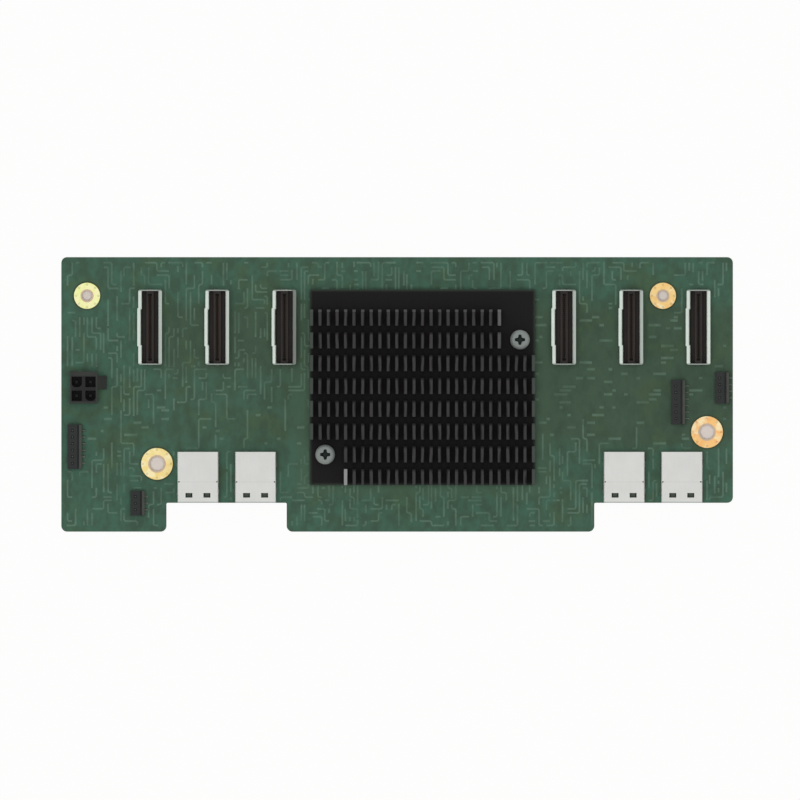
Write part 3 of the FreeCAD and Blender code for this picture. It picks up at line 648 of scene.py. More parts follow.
def anodised_finish(sink, pitches, rubbed):
    """Dyed aluminium drawn along Y: fin tops lighter along their crests, part wear and part painted
    highlight, a thin rim, and painted glints and painted light on chosen fins.
    """
    finish = Finish("anodised black", Specular_IOR_Level=0.12)
    x, y = finish.axis("X"), finish.axis("Y")
    middle, half = in_millimetres("heat_sink")
    drawn = finish.noise(0.35, 2, (1, 60, 1))
    tip_height = middle.z + half.z
    tips = finish.axis("Z").rise(tip_height - 0.22, tip_height - 0.03)
    column, row = (math.tau * MM / pitch for pitch in pitches)
    sway = (finish.noise(2.2, 1, (1, 3, 1)) - 0.5) * 3.0
    # Painted highlight, part wear: the tip colour follows a streak along each fin's crest.
    crest = ((x - middle.x) * column + math.pi / 2 + sway).sine().rise(0.1, 1)
    front_fin = middle.y - half.y + sink.fin_length / 2 / MM
    ends = ((y - front_fin) * row + math.pi / 2 + 0.5).sine().rise(-0.95, -0.2)
    sheen_and_wear = tips * crest * ends * (0.55 + finish.noise(2.5, 3, (1, 2, 1)) * 0.9)
    reach = sink.rim_width / MM
    inside = (half.x - abs(x - middle.x)).rise(-reach * 0.6, reach)
    inside = inside * (half.y - abs(y - middle.y)).rise(-reach * 0.6, reach)
    dyed = finish.mix(inside, sink.rim, sink.black)
    dyed = finish.mix(sheen_and_wear, dyed, sink.tip)
    # Painted glints and painted light on chosen fin tops.
    for (fin_x, fin_y, reach_x, reach_y), share, rgb in rubbed:
        here = x.near(fin_x / MM, reach_x / MM, 0.2) * y.near(fin_y / MM, reach_y / MM, 0.3)
        dyed = finish.mix(here * tips * share, dyed, rgb)
    return finish.feed(
        Base_Color=dyed,
        Roughness=0.44 + drawn * 0.14 - tips * 0.08,
        Normal=finish.bump(drawn, 0.01),
    )


def plate_finish(name, rgb, size=3.0, stretch=(1, 8, 1), metallic=0.62, rough=0.34, marks=None):
    """Plated sheet or wire with rolling streaks, dull spots, fine grain, and the marks of its piece."""
    finish = Finish(name, Specular_IOR_Level=0.3)
    streaks = finish.noise(size * 0.12, 3, stretch)
    clouds = finish.noise(size, 3)
    plated = finish.mix(clouds.rise(0.35, 0.7), rgb, tint(rgb, 0.96))
    plated = finish.mix(streaks * 0.3, plated, tint(rgb, 0.88))
    if marks:
        plated = marks(finish, plated)
    return finish.feed(
        Base_Color=plated,
        Metallic=metallic + clouds * 0.18,
        Roughness=rough + streaks * 0.16,
        Normal=finish.bump(streaks, 0.004),
    )


def resin_finish(name, rgb, marks=None):
    """Glass-filled resin: matt and dark, with pale fibres, a moulded grain and the marks of its piece."""
    finish = Finish(name, Specular_IOR_Level=0.16)
    fibres = finish.noise(0.10, 2, (1, 7, 1)).rise(0.66, 0.80)
    flow = finish.noise(4, 2)
    body = finish.mix(flow, tint(rgb, 0.8), tint(rgb, 1.25))
    body = finish.mix(fibres * 0.35, body, tint(rgb, 2.2))
    if marks:
        body = marks(finish, body)
    return finish.feed(
        Base_Color=body,
        Roughness=0.46 + flow * 0.16,
        Normal=finish.bump(finish.noise(0.14, 2), 0.006),
    )


def contact_finish(rgb):
    """Thin gold over nickel, wiped along the way that a plug slides."""
    finish = Finish("contact gold")
    wiped = finish.noise(0.5, 3, (1, 1, 6))
    return finish.feed(
        Base_Color=finish.mix(wiped * 0.6, rgb, tint(rgb, 0.6)),
        Metallic=0.85 + wiped * 0.1,
        Roughness=0.24 + wiped * 0.2,
    )


def solder_finish(name, rgb):
    """Solder: bright with dull, crystalline patches."""
    finish = Finish(name)
    frost = finish.noise(0.35, 4)
    return finish.feed(
        Base_Color=finish.mix(frost.rise(0.4, 0.7), rgb, tint(rgb, 0.75)),
        Metallic=0.75 + frost * 0.2,
        Roughness=0.22 + frost * 0.3,
        Normal=finish.bump(frost, 0.02),
    )


def thermal_finish():
    """Soft silicone with a coarse grey filler."""
    finish = Finish("thermal grey")
    filler = finish.noise(0.3, 4)
    return finish.feed(
        Base_Color=finish.mix(filler, (0.30, 0.31, 0.33), (0.42, 0.43, 0.45)),
        Roughness=0.7 + filler * 0.2,
        Normal=finish.bump(filler, 0.03),
    )


# Board, traces and pads

def pad_rings(pads):
    """The mounting holes: place, bore radius and pad radius."""
    return [(spot, bore, pads.large_rim if bore > 2 * MM else pads.small_rim) for spot, bore in BORES]


class MIDPLANE_OT_board(bpy.types.Operator):
    """Finishes the circuit board"""

    bl_idname = "midplane.board"
    bl_label = "Circuit board"

    def execute(self, context):
        board = frame["nodes"]["circuit_board"]
        board.data.materials.clear()
        rings = pad_rings(context.scene.midplane_pads)
        board.data.materials.append(solder_mask_finish(context.scene.midplane_board, rings))
        return {"FINISHED"}


def keep_outs(margin):
    """Boxes of the board that no trace enters: footprints and notches, with a margin round them."""
    names = ["chip_substrate", "power_header_body", *(f"{name}_body" for name in SIDE_HEADERS)]
    names += [f"socket_shell_{number}" for number in SOCKETS]
    names += [f"port_cage_{number}" for number in PORTS]
    boxes = [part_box(name) for name in names]
    openings = frame["record"]["physics"]["openings"]
    boxes += [tuple(map(Vector, o["box_m"])) for o in openings if o["name"].endswith("notch")]
    return [(low.x - margin, low.y - margin, high.x + margin, high.y + margin) for low, high in boxes]


class TraceRouter:
    """Routes short traces on a square grid: straight runs in steps, which never touch one another."""

    MARGIN = 0.7 * MM
    CORNER_CUT = 0.3
    JITTER = (0.3, 0.7)
    # A choice that is listed more often is drawn more often
    WAYS = ((0, 1), (0, -1), (0, 1), (0, -1), (1, 0), (-1, 0))
    RUN_COUNTS = (1, 1, 2, 2, 3, 3)
    RUN_ALONG_X, RUN_ALONG_Y = (1, 3), (2, 8)
    LANE_COUNTS = (1, 1, 1, 1, 1, 2)
    LAND_CELLS = (1, 3)
    LAND_SHARES = (0.22, 0.4)

    def __init__(self, settings, discs, draw):
        self.step = settings.trace_step
        self.calm_bands = (settings.calm_left, settings.calm_right)
        self.draw = draw
        self.boxes = keep_outs(self.MARGIN)
        self.discs = discs
        self.columns = int((BOARD_HIGH.x - BOARD_LOW.x) / self.step)
        self.rows = int((BOARD_HIGH.y - BOARD_LOW.y) / self.step)
        counts = (self.columns, self.rows)
        self.shifts = [[draw.uniform(*self.JITTER) for _ in range(count)] for count in counts]
        self.used = set()
        self.traces, self.lands = [], []

    def point(self, cell):
        """The place of a cell, a little off the middle of its square."""
        column, row = (i + shifts[i] for i, shifts in zip(cell, self.shifts))
        return Vector((BOARD_LOW.x + column * self.step, BOARD_LOW.y + row * self.step))

    def is_free(self, cell):
        if cell in self.used or not (0 < cell[0] < self.columns - 1 and 0 < cell[1] < self.rows - 1):
            return False
        spot = self.point(cell)
        if any(x0 < spot.x < x1 and y0 < spot.y < y1 for x0, y0, x1, y1 in self.boxes):
            return False
        return all((spot - centre).length > reach for centre, reach in self.discs)

    def route(self, cell):
        """One trace from a cell, as the cells at its ends and turns, or nothing if there is no room."""
        direction = self.draw.choice(self.WAYS)
        turns = [cell]
        side = self.draw.choice((1, -1))
        for _ in range(self.draw.choice(self.RUN_COUNTS)):
            reach = self.RUN_ALONG_Y if direction[1] else self.RUN_ALONG_X
            for _ in range(self.draw.randint(*reach)):
                ahead = (cell[0] + direction[0], cell[1] + direction[1])
                if not self.is_free(ahead):
                    break
                cell = ahead
            if cell == turns[-1]:
                break
            turns.append(cell)
            direction = (direction[1] * side, -direction[0] * side)
            side = -side
        return turns if len(turns) > 1 else []

    @staticmethod
    def headings(turns):
        """The direction of each run, as signs along X and Y."""
        return [
            ((b[0] > a[0]) - (b[0] < a[0]), (b[1] > a[1]) - (b[1] < a[1]))
            for a, b in zip(turns, turns[1:])
        ]

    def beside(self, turns, lane):
        """The same route, this many lanes to its left, or nothing if one of its runs would turn back."""
        left = [(-dy, dx) for dx, dy in self.headings(turns)]
        moved = []
        for cell, before, after in zip(turns, left[:1] + left, left + left[-1:]):
            ways = {before, after}
            moved.append(tuple(cell[i] + lane * sum(way[i] for way in ways) for i in (0, 1)))
        return moved if self.headings(moved) == self.headings(turns) else []

    @staticmethod
    def cells(turns):
        """Every grid cell that a route passes."""
        passed = set()
        for (x0, y0), (x1, y1) in zip(turns, turns[1:]):
            for x in range(min(x0, x1), max(x0, x1) + 1):
                passed |= {(x, y) for y in range(min(y0, y1), max(y0, y1) + 1)}
        return passed

    def lay(self, turns, paths):
        """Adds a route to these paths and says so, if all its cells are free."""
        passed = self.cells(turns)
        if not turns or not all(map(self.is_free, passed)):
            return False
        self.used |= passed
        paths.append(self.path(turns))
        return True

    def bundle(self, cell):
        """Lays a route from a cell, and the routes nested beside it, as far as there is room."""
        turns = self.route(cell)
        for lane in range(self.draw.choice(self.LANE_COUNTS) if turns else 0):
            if not self.lay(self.beside(turns, lane), self.traces):
                break

    def fill(self, tries):
        """Tries cells at random: traces over most of the board, a few lands in the calm band of each half."""
        for _ in range(tries):
            cell = (self.draw.randrange(self.columns), self.draw.randrange(self.rows))
            if not self.is_free(cell):
                continue
            spot = self.point(cell)
            right_half = spot.x > 0
            low, high = self.calm_bands[right_half]
            if not low < spot.y < high:
                self.bundle(cell)
            elif self.draw.random() < self.LAND_SHARES[right_half]:
                self.lay([cell, (cell[0] + self.draw.randint(*self.LAND_CELLS), cell[1])], self.lands)

    def path(self, turns):
        """The route's points, with each corner cut a little."""
        points = [self.point(turns[0])]
        for before, here, after in zip(turns, turns[1:], turns[2:]):
            corner = self.point(here)
            for other in (before, after):
                towards = (self.point(other) - corner).normalized()
                points.append(corner + towards * self.step * self.CORNER_CUT)
        points.append(self.point(turns[-1]))
        return points


def ribbons(name, paths, height, width, lift):
    """Low ribbons along the paths: edges become a bevelled curve, and the curve a mesh pressed flat."""
    points, edges = [], []
    for path in paths:
        first = len(points)
        points += [(p.x, p.y, height) for p in path]
        edges += [(i, i + 1) for i in range(first, len(points) - 1)]
    mesh = bpy.data.meshes.new(name)
    mesh.from_pydata(points, edges, [])
    piece = bpy.data.objects.new(name, mesh)
    bpy.context.scene.collection.objects.link(piece)
    select_only(piece)
    bpy.ops.object.convert(target="CURVE")
    piece = bpy.context.active_object
    piece.data.bevel_depth = width / 2
    piece.data.bevel_resolution = 2
    piece.data.use_fill_caps = True
    bpy.ops.object.convert(target="MESH")
    piece = bpy.context.active_object
    with editing(piece):
        bpy.ops.transform.resize(value=(1, 1, lift * 2 / width), center_override=(0, 0, height))
    smooth(piece)
    return piece


class MIDPLANE_OT_traces(bpy.types.Operator):
    """Routes the copper traces, lands and vias on both faces of the board"""

    bl_idname = "midplane.traces"
    bl_label = "Traces"

    def execute(self, context):
        settings = context.scene.midplane_board
        pad_reach = context.scene.midplane_pads.large_rim + 0.8 * MM
        nut_reach = 4.6 * MM
        via_share = 0.2
        discs = [(centre.xy, pad_reach) for centre, _ in BORES]
        discs += [(spot.xy, nut_reach) for spot in screw_spots(context.scene.midplane_fasteners)]
        draw = random.Random(settings.seed)
        material = trace_finish(settings)
        dome = [(0.5 * MM, -0.01 * MM), (0.42 * MM, 0.018 * MM), (0.2 * MM, 0.03 * MM)]
        for side, height in (("top", TOP), ("under", UNDER)):
            router = TraceRouter(settings, discs, draw)
            router.fill(settings.trace_tries)
            rise = settings.trace_height
            traces = ribbons(f"traces_{side}", router.traces, height, settings.trace_width, rise)
            lands = ribbons(f"lands_{side}", router.lands, height, settings.land_width, rise)
            ends = [path[i] for path in router.traces for i in (0, -1) if draw.random() < via_share]
            dots = set_out(lathe("via", dome, steps=12), [(end.x, end.y, height) for end in ends])
            for piece in (traces, lands, join(f"vias_{side}", dots)):
                ready(piece, material, "solder_mask")
        return {"FINISHED"}


class MIDPLANE_OT_pads(bpy.types.Operator):
    """Turns the plated pads and barrels of the mounting holes and sets their ring of vias"""

    bl_idname = "midplane.pads"
    bl_label = "Mounting pads"

    def execute(self, context):
        pads = context.scene.midplane_pads
        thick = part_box("mount_pads")[1].z - TOP
        low, high = UNDER - thick, TOP + thick
        crown, sunk = pads.crown, 0.02 * MM
        slope, drop = 6 * crown, thick * 0.8
        plug = [(pads.via_radius * r, high + z * MM) for r, z in ((1.0, -0.01), (0.8, 0.006), (0.3, 0.012))]
        rings, barrels, vias = [], [], []
        for spot, bore, rim in pad_rings(pads):
            place = Vector((spot.x, spot.y, 0))
            lip, skin = bore + pads.lip, bore - pads.plating
            for face, outer in ((TOP - sunk, high), (UNDER + sunk, low)):
                edge = outer + (crown if outer < face else -crown)
                section = [
                    (lip, face), (rim, face), (rim, edge), (rim - crown, outer), (lip, outer), (lip, face),
                ]
                rings += set_out(lathe("ring", section, steps=96, closed=True), [place])
            section = [
                (skin, low + drop), (skin + slope, low), (lip, low), (lip, UNDER + sunk),
                (bore, UNDER + sunk), (bore, TOP - sunk), (lip, TOP - sunk), (lip, high),
                (skin + slope, high), (skin, high - drop), (skin, low + drop),
            ]
            barrels += set_out(lathe("barrel", section, steps=96, closed=True), [place])
            angles = [math.tau * i / pads.via_count for i in range(pads.via_count)]
            circle = rim - 1.25 * pads.via_radius
            spots = [place + Vector((math.cos(angle), math.sin(angle), 0)) * circle for angle in angles]
            vias += set_out(lathe("via", plug, steps=16), spots)
        ready(join("plated_pads", rings), pad_finish("pad gold", pads, 1.0), "pad_gold", "mount_pads")
        plating = plate_finish("barrel plating", pads.barrel, size=0.8)
        ready(join("plated_barrels", barrels), plating, "pad_gold")
        ready(join("pad_vias", vias), pad_finish("plugged via", pads, pads.plug_shade), "pad_gold")
        return {"FINISHED"}


# Heat sink, its fasteners and the chip under it

def screw_spots(fasteners):
    """The axes of the two heat sink screws, from the box of their node."""
    low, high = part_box("heat_sink_screws")
    reach = Vector((fasteners.head, fasteners.head, 0))
    return [Vector((low.x, low.y, 0)) + reach, Vector((high.x, high.y, 0)) - reach]


class MIDPLANE_OT_heat_sink(bpy.types.Operator):
    """Models the heat sink: base plate, rows of fins and the two screw bays"""

    bl_idname = "midplane.heat_sink"
    bl_label = "Heat sink"

    def execute(self, context):
        sink = context.scene.midplane_heat_sink
        low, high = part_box("heat_sink")
        fins_back = high.y - sink.plain_strip
        column_pitch = (high.x - low.x - sink.fin) / (sink.columns - 1)
        row_pitch = (fins_back - low.y - sink.fin_length) / (sink.rows - 1)
        pitches = (column_pitch, row_pitch)
        plate = self.base_plate(sink, context.scene.midplane_fasteners)
        whole_sink = join("finned_block", [plate, self.fins(sink, pitches, fins_back)])
        dyed = anodised_finish(sink, pitches, self.rubbed(sink, pitches, fins_back))
        ready(whole_sink, dyed, "black_anodised", "heat_sink")
        return {"FINISHED"}

    @staticmethod
    def base_plate(sink, fasteners):
        """The plate with its two screw holes."""
        low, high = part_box("heat_sink")
        deck = low.z + sink.base
        plate = block("heat_sink_block", low, (high.x, high.y, deck))
        radius = fasteners.shank + fasteners.clearance
        drill = lathe("drill", [(radius, low.z - MM), (radius, deck + MM)], steps=40)
        for drilled in set_out(drill, screw_spots(fasteners)):
            carve(plate, drilled)
        round_edges(plate, sink.plate_edge)
        return plate

    @staticmethod
    def fins(sink, pitches, fins_back):
        """One fin, repeated from left to right and then row by row, without those in the two bays."""
        low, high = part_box("heat_sink")
        root = low.z + sink.base - sink.fin_root
        fins = block("fins", (low.x, low.y, root), (low.x + sink.fin, low.y + sink.fin_length, high.z))
        round_edges(fins, sink.edge)
        column_pitch, row_pitch = pitches
        repeat(fins, sink.columns, (column_pitch, 0, 0))
        repeat(fins, sink.rows, (0, row_pitch, 0))
        bay_x, bay_y = column_pitch * sink.bay_columns, row_pitch * sink.bay_rows
        gap = (row_pitch - sink.fin_length) / 2
        bays = (
            (low.x - MM, low.y - MM, low.x + bay_x - gap / 2, low.y + bay_y - gap),
            (high.x - bay_x + gap / 2, fins_back - bay_y + gap, high.x + MM, fins_back + MM),
        )
        with editing(fins, "VERT", lambda p: any(x0 < p.x < x1 and y0 < p.y < y1 for x0, y0, x1, y1 in bays)):
            bpy.ops.mesh.delete(type="VERT")
        return fins

    @staticmethod
    def rubbed(sink, pitches, fins_back):
        """Where the fin tops are painted lighter: place and reach along X and Y, share and colour."""
        low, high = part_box("heat_sink")
        column_pitch, row_pitch = pitches
        half_fin, half_row, cap, width = sink.fin / 2, sink.fin_length / 2, 0.3 * MM, 0.9 * MM
        bay = column_pitch * sink.bay_columns + half_fin
        beside_left, beside_right = low.x + bay, high.x - bay
        front_row, back_row = low.y + half_row, fins_back - half_row
        middle, depth = (low.y + high.y) / 2, high.y - low.y
        # A faint lighter band at the back ends of the fins, painted glints beside the bays, and painted light
        # on both outer columns.
        return [
            ((0, fins_back - cap, high.x, cap), 0.2, sink.bare),
            ((beside_left, front_row, width, half_row), 1.0, sink.bare),
            ((beside_right, back_row, width, half_row), 0.3, sink.bare),
            ((beside_right, back_row - row_pitch, width, half_row), 0.14, sink.bare),
            ((low.x + half_fin, middle, width, depth), 0.75, sink.outer),
            ((high.x - half_fin, middle, width, depth), 0.75, sink.outer),
        ]


def cross_recess(span, arm, depth, height):
    """Two crossed bars with pointed ends that narrow downwards, as a driver's tip leaves them."""
    bars = []
    for turn in (0, math.pi / 2):
        bar = block("bar", (-span / 2, -arm / 2, height - depth), (span / 2, arm / 2, height + 0.2 * MM))
        with editing(bar):
            bpy.ops.mesh.subdivide(number_cuts=1)
        with editing(bar, "VERT", lambda p: abs(p.x) > span * 0.4):
            bpy.ops.transform.resize(value=(1, 0.5, 1), center_override=(0, 0, 0))
        with editing(bar, "VERT", lambda p: p.z < height - depth * 0.9):
            bpy.ops.transform.resize(value=(0.5, 0.6, 1), center_override=(0, 0, 0))
        bars.append(clone(bar, "bar", turn=turn))
        discard(bar)
    return bars


class MIDPLANE_OT_fasteners(bpy.types.Operator):
    """Turns the heat sink screws, winds their springs and rounds the nuts"""

    bl_idname = "midplane.fasteners"
    bl_label = "Screws, springs and nuts"

    def execute(self, context):
        settings = context.scene.midplane_fasteners
        spots = screw_spots(settings)
        self.screws(settings, spots)
        self.springs(settings, spots)
        tinned = plate_finish("tinned nut", tint(settings.zinc, 1.15), size=1.5)
        rounded_node("press_nuts", "pressed_nuts", edge=0.12 * MM, material=tinned, slot="nut_steel")
        return {"FINISHED"}

    @staticmethod
    def screws(settings, spots):
        """Domed screws, with painted shade in the cross recess."""
        low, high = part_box("heat_sink_screws")
        seat, chamfer = high.z - settings.head_height, 0.3 * MM
        dome = (
            (0.97, 0.0), (1.0, 0.08), (1.0, 0.5), (0.98, 0.62), (0.93, 0.76), (0.82, 0.93), (0.74, 0.99),
            (0.66, 1.0), (0.2, 1.0),
        )
        profile = [(settings.shank * 0.8, low.z), (settings.shank, low.z + chamfer), (settings.shank, seat)]
        profile += [(settings.head * r, seat + settings.head_height * h) for r, h in dome]
        screw = lathe("screw", profile)
        for bar in cross_recess(settings.recess, settings.recess_arm, settings.recess_depth, high.z):
            carve(screw, bar)
        round_edges(screw, width=0.04 * MM)
        zinc = plate_finish("zinc", settings.zinc, size=2.0, stretch=(6, 1, 1), metallic=0.15, rough=0.55)
        turned = join("turned_screws", set_out(screw, spots))
        ready(turned, zinc, "screw_steel", "heat_sink_screws")
        # Painted shade: faces down in the cross recess take a second, near-black material.
        turned.data.materials.append(resin_finish("recess oxide", settings.oxide))
        recess_top, recess_floor = high.z - 0.06 * MM, high.z - settings.recess_depth - 0.1 * MM
        for face in turned.data.polygons:
            reach = min((face.center.xy - spot.xy).length for spot in spots)
            sunk = recess_top > face.center.z > recess_floor
            face.material_index = int(sunk and reach < settings.recess * 0.55)

    @staticmethod
    def springs(settings, spots):
        """Compression springs, each a ring of wire wound up by a screw modifier."""
        low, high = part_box("screw_springs")
        rise = high.z - low.z - 2 * settings.wire
        select_only()
        bpy.ops.mesh.primitive_circle_add(
            vertices=12, radius=settings.wire, location=(settings.coil, 0, low.z + settings.wire),
            rotation=(math.pi / 2, 0, 0),
        )
        coil = added("coil")
        apply_modifier(
            coil, "SCREW", angle=math.tau, screw_offset=rise / settings.turns, iterations=settings.turns,
            steps=36, render_steps=36, use_smooth_shade=True,
        )
        with editing(coil):
            bpy.ops.mesh.fill_holes(sides=0)
            turn_outwards()
        smooth(coil)
        wire = plate_finish("spring wire", tint(settings.zinc, 0.9), size=0.6)
        ready(join("wound_springs", set_out(coil, spots)), wire, "spring_steel", "screw_springs")


class MIDPLANE_OT_chip(bpy.types.Operator):
    """Finishes the switch chip, its lid and the thermal pad"""

    bl_idname = "midplane.chip"
    bl_label = "Switch chip"

    def execute(self, context):
        mask = trace_finish(context.scene.midplane_board)
        rounded_node("chip_substrate", "chip_carrier", edge=0.1 * MM, material=mask, slot="chip_laminate")
        nickel = plate_finish("nickel", tint(context.scene.midplane_connectors.tin, 0.85), size=4.0)
        rounded_node(
            "chip_lid", "stamped_lid", edge=0.4 * MM, material=nickel, slot="nickel_plate", segments=3
        )
        grey = thermal_finish()
        rounded_node("thermal_pad", "thermal_layer", edge=0.08 * MM, material=grey, slot="thermal_grey")
        return {"FINISHED"}


# Connectors

def blade_row(low, high, count, step):
    """A row of like contact blades with rounded edges, made from one blade."""
    row = block("blades", low, high)
    round_edges(row, width=0.05 * MM, segments=1)
    repeat(row, count, step)
    return row


class MIDPLANE_OT_sockets(bpy.types.Operator):
    """Models the upright cable sockets: formed shells, moulded insulators and contact blades"""

    bl_idname = "midplane.sockets"
    bl_label = "Cable sockets"

    def execute(self, context):
        settings = context.scene.midplane_connectors
        middle, half = in_millimetres("socket_shell_1")

        def shell_marks(finish, plated):
            """Painted shade on the right-hand lips, some more than others, and a darker sheet at both ends.
            """
            x, y = finish.axis("X"), finish.axis("Y")
            dull = tint(settings.shell, 0.3)
            # Painted shade: each right-hand lip darkens towards a dark tint of the shell by its own share.
            for number, share in zip(SOCKETS, settings.painted_lip_shade):
                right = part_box(f"socket_shell_{number}")[1].x / MM
                plated = finish.mix(x.near(right, 1.3, 0.3) * share, plated, dull)
            # The sheet at both ends is darker as well.
            ends = abs(y - middle.y).rise(half.y - 0.5, half.y - 0.3)
            return finish.mix(ends * 0.72, plated, dull)

        def bend_corners(shell):
            """Rounds the upright edges at the four corners."""
            def at_corner(a, b):
                off_x, off_y = abs(a.x / MM - middle.x), abs(a.y / MM - middle.y)
                return (a - b).xy.length < 0.01 * MM and off_x > 2 and off_y > half.y - 1

            with editing(shell, "EDGE", at_corner):
                bpy.ops.mesh.bevel(offset=settings.shell_corner, segments=4, affect="EDGES")

        tin = plate_finish("shell tin", settings.shell, stretch=(1, 1, 8), marks=shell_marks)
        edge = settings.sheet_edge
        rounded_nodes("socket_shell_{}", SOCKETS, "formed_shell_{}", edge, tin, "shell_steel", bend_corners)
        resin = resin_finish("insert resin", settings.insert)
        edge = settings.resin_edge
        rounded_nodes("socket_body_{}", SOCKETS, "socket_insert_{}", edge, resin, "black_resin")
        gold = contact_finish(settings.gold)
        for number in SOCKETS:
            rows = self.blades(number, settings)
            ready(join(f"socket_blades_{number}", rows), gold, "contact_gold", f"socket_contacts_{number}")
        return {"FINISHED"}

    @staticmethod
    def blades(number, settings):
        """The two rows of contacts that face one another across the slot."""
        low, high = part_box(f"socket_contacts_{number}")
        thick, back = settings.blade_thick, low.y + settings.blade_width
        count = int((high.y - low.y) / settings.blade_pitch) + 1
        for x in (low.x, high.x - thick):
            corners = ((x, low.y, low.z), (x + thick, back, high.z))
            yield blade_row(*corners, count, (0, settings.blade_pitch, 0))


class MIDPLANE_OT_ports(bpy.types.Operator):
    """Models the cable ports: folded cages with their latch springs, moulded insulators and contact blades"""

    bl_idname = "midplane.ports"
    bl_label = "Cable ports"

    def execute(self, context):
        settings = context.scene.midplane_connectors
        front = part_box("port_cage_1")[0].y / MM

        def cage_marks(finish, plated):
            """Painted shade: a faint darker line across the roof at the fold, and a darker band along the
            sheared front edge.
            """
            y = finish.axis("Y")
            # Painted shade of the fold: a faint darker line across the roof.
            fold = y.near(front + settings.fold / MM, 0.1, 0.3)
            plated = finish.mix(fold * 0.25, plated, tint(settings.tin, 0.8))
            # Painted shade: a darker band along the front edge.
            return finish.mix(y.rise(front + 0.28, front + 0.38), settings.front_edge_shade, plated)

        tin = plate_finish("cage tin", settings.tin, size=5.0, marks=cage_marks)
        edge = settings.sheet_edge * 0.6
        rounded_nodes("port_cage_{}", PORTS, "folded_cage_{}", edge, tin, "cage_steel")
        resin = resin_finish("port resin", settings.resin)
        edge = settings.resin_edge
        rounded_nodes("port_body_{}", PORTS, "port_insert_{}", edge, resin, "black_resin")
        gold = contact_finish(settings.gold)
        # Painted shade: the latch tongues are a dark grey.
        spring = plate_finish("latch spring", settings.dull, size=1.0)
        for number in PORTS:
            rows = self.blades(number, settings)
            ready(join(f"port_blades_{number}", rows), gold, "contact_gold", f"port_contacts_{number}")
            tongues = self.latch_tongues(number, settings)
            ready(join(f"latch_springs_{number}", tongues), spring, "cage_steel")
        return {"FINISHED"}

    @staticmethod
    def blades(number, settings):
        """The contacts at the top and the bottom of both card slots."""
        low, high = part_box(f"port_contacts_{number}")
        thick, width, pitch = settings.blade_thick, settings.port_blade, settings.port_pitch
        count = int((high.x - low.x - width) / pitch) + 1
        start = (low.x + high.x - pitch * (count - 1) - width) / 2
        for slot in (low.z, low.z + settings.slot_rise):
            for z in (slot, slot + settings.slot_height - thick):
                corners = ((start, low.y, z), (start + width, high.y, z + thick))
                yield blade_row(*corners, count, (pitch, 0, 0))

    @staticmethod
    def latch_tongues(number, settings):
        """A thin tongue under each roof window, bent down at its front end."""
        low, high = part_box(f"port_cage_{number}")
        half_width, window = settings.tongue_width / 2, 2.75 * MM
        roof, bend = high.z - 0.4 * MM, 0.9 * MM
        front, back = low.y + 1.0 * MM, low.y + 5.0 * MM
        for x in ((low.x + high.x) / 2 - window, (low.x + high.x) / 2 + window):
            corners = ((x - half_width, front, roof - settings.tongue_thick), (x + half_width, back, roof))
            tongue = block("tongue", *corners)
            with editing(tongue, "VERT", lambda p: p.y < front + MM):
                bpy.ops.transform.translate(value=(0, 0, -bend))
            round_edges(tongue, width=0.06 * MM)
            yield tongue


class MIDPLANE_OT_headers(bpy.types.Operator):
    """Models the power header and the small side headers, their pins and the solder under the pins"""

    bl_idname = "midplane.headers"
    bl_label = "Headers"

    def execute(self, context):
        settings = context.scene.midplane_connectors
        middle, half = in_millimetres("power_header_pins")

        def cell_marks(finish, body):
            """Painted shade inside the four cells and on the walls between them."""
            x, y = finish.axis("X"), finish.axis("Y")
            inside = x.near(middle.x, half.x + 0.9, 0.4) * y.near(middle.y, half.y + 1.1, 0.4)
            return finish.mix(inside * 0.8, body, settings.shaded)

        def pin_marks(finish, plated):
            """Painted shade: pins darker inside the housing than where their tails lie on the board."""
            return finish.mix(finish.axis("Z").rise(TOP / MM + 0.8, TOP / MM + 1.0), plated, settings.dull)

        grey = resin_finish("latch resin", settings.latch)
        solder = solder_finish("dull solder", settings.tail)
        drawn = {"size": 0.8, "stretch": (1, 1, 6)}
        shaded = plate_finish("shaded pin", settings.shaded, metallic=0.2, **drawn)
        looks = {"power_header": (resin_finish("power resin", settings.power, cell_marks), shaded)}
        tinned = plate_finish("tinned pin", settings.tail, metallic=0.4, marks=pin_marks, **drawn)
        looks.update(dict.fromkeys(SIDE_HEADERS, (resin_finish("header resin", settings.header), tinned)))
        for name, (resin, plating) in looks.items():
            rounded_node(f"{name}_body", f"{name}_housing", settings.resin_edge, resin, "black_resin")
            rounded_node(f"{name}_pins", f"{name}_posts", settings.pin_edge, plating, "pin_tin")
        for name in SIDE_HEADERS:
            ready(self.tail_solder(name, settings), solder, "pin_tin")
            ready(self.latch_strip(name, settings), grey, "black_resin")
        return {"FINISHED"}

    @staticmethod
    def latch_strip(name, settings):
        """The grey strip along the top of a small header's latch wall."""
        low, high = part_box(f"{name}_body")
        inset, sunk, proud = 0.06 * MM, 0.3 * MM, 0.12 * MM
        strip = block(
            f"{name}_latch_strip",
            (high.x - settings.latch_wall + inset, low.y + inset, high.z - sunk),
            (high.x - inset, high.y - inset, high.z + proud),
        )
        round_edges(strip, settings.resin_edge * 0.6)
        return strip

    @staticmethod
    def tail_solder(name, settings):
        """A low mound of solder on the pad under each tail, inside the board's edge."""
        low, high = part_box(f"{name}_pins")
        pin, pitch = settings.pin, settings.pin_pitch
        tail, reach, sunk, rise = 1.0 * MM, 0.2 * MM, 0.02 * MM, 0.2 * MM
        right = min(high.x + reach, BOARD_HIGH.x - 0.05 * MM)
        mound = block(
            f"{name}_solder",
            (high.x - tail, low.y - reach, TOP - sunk),
            (right, low.y + pin + reach, TOP + rise),
        )
        crest = (high.x - 0.4 * MM, low.y + pin / 2, TOP)
        with editing(mound, "VERT", lambda p: p.z > TOP + rise / 2):
            bpy.ops.transform.resize(value=(0.8, 0.55, 1), center_override=crest)
        round_edges(mound, width=0.1 * MM)
        repeat(mound, round((high.y - low.y - pin) / pitch) + 1, (0, pitch, 0))
        return mound


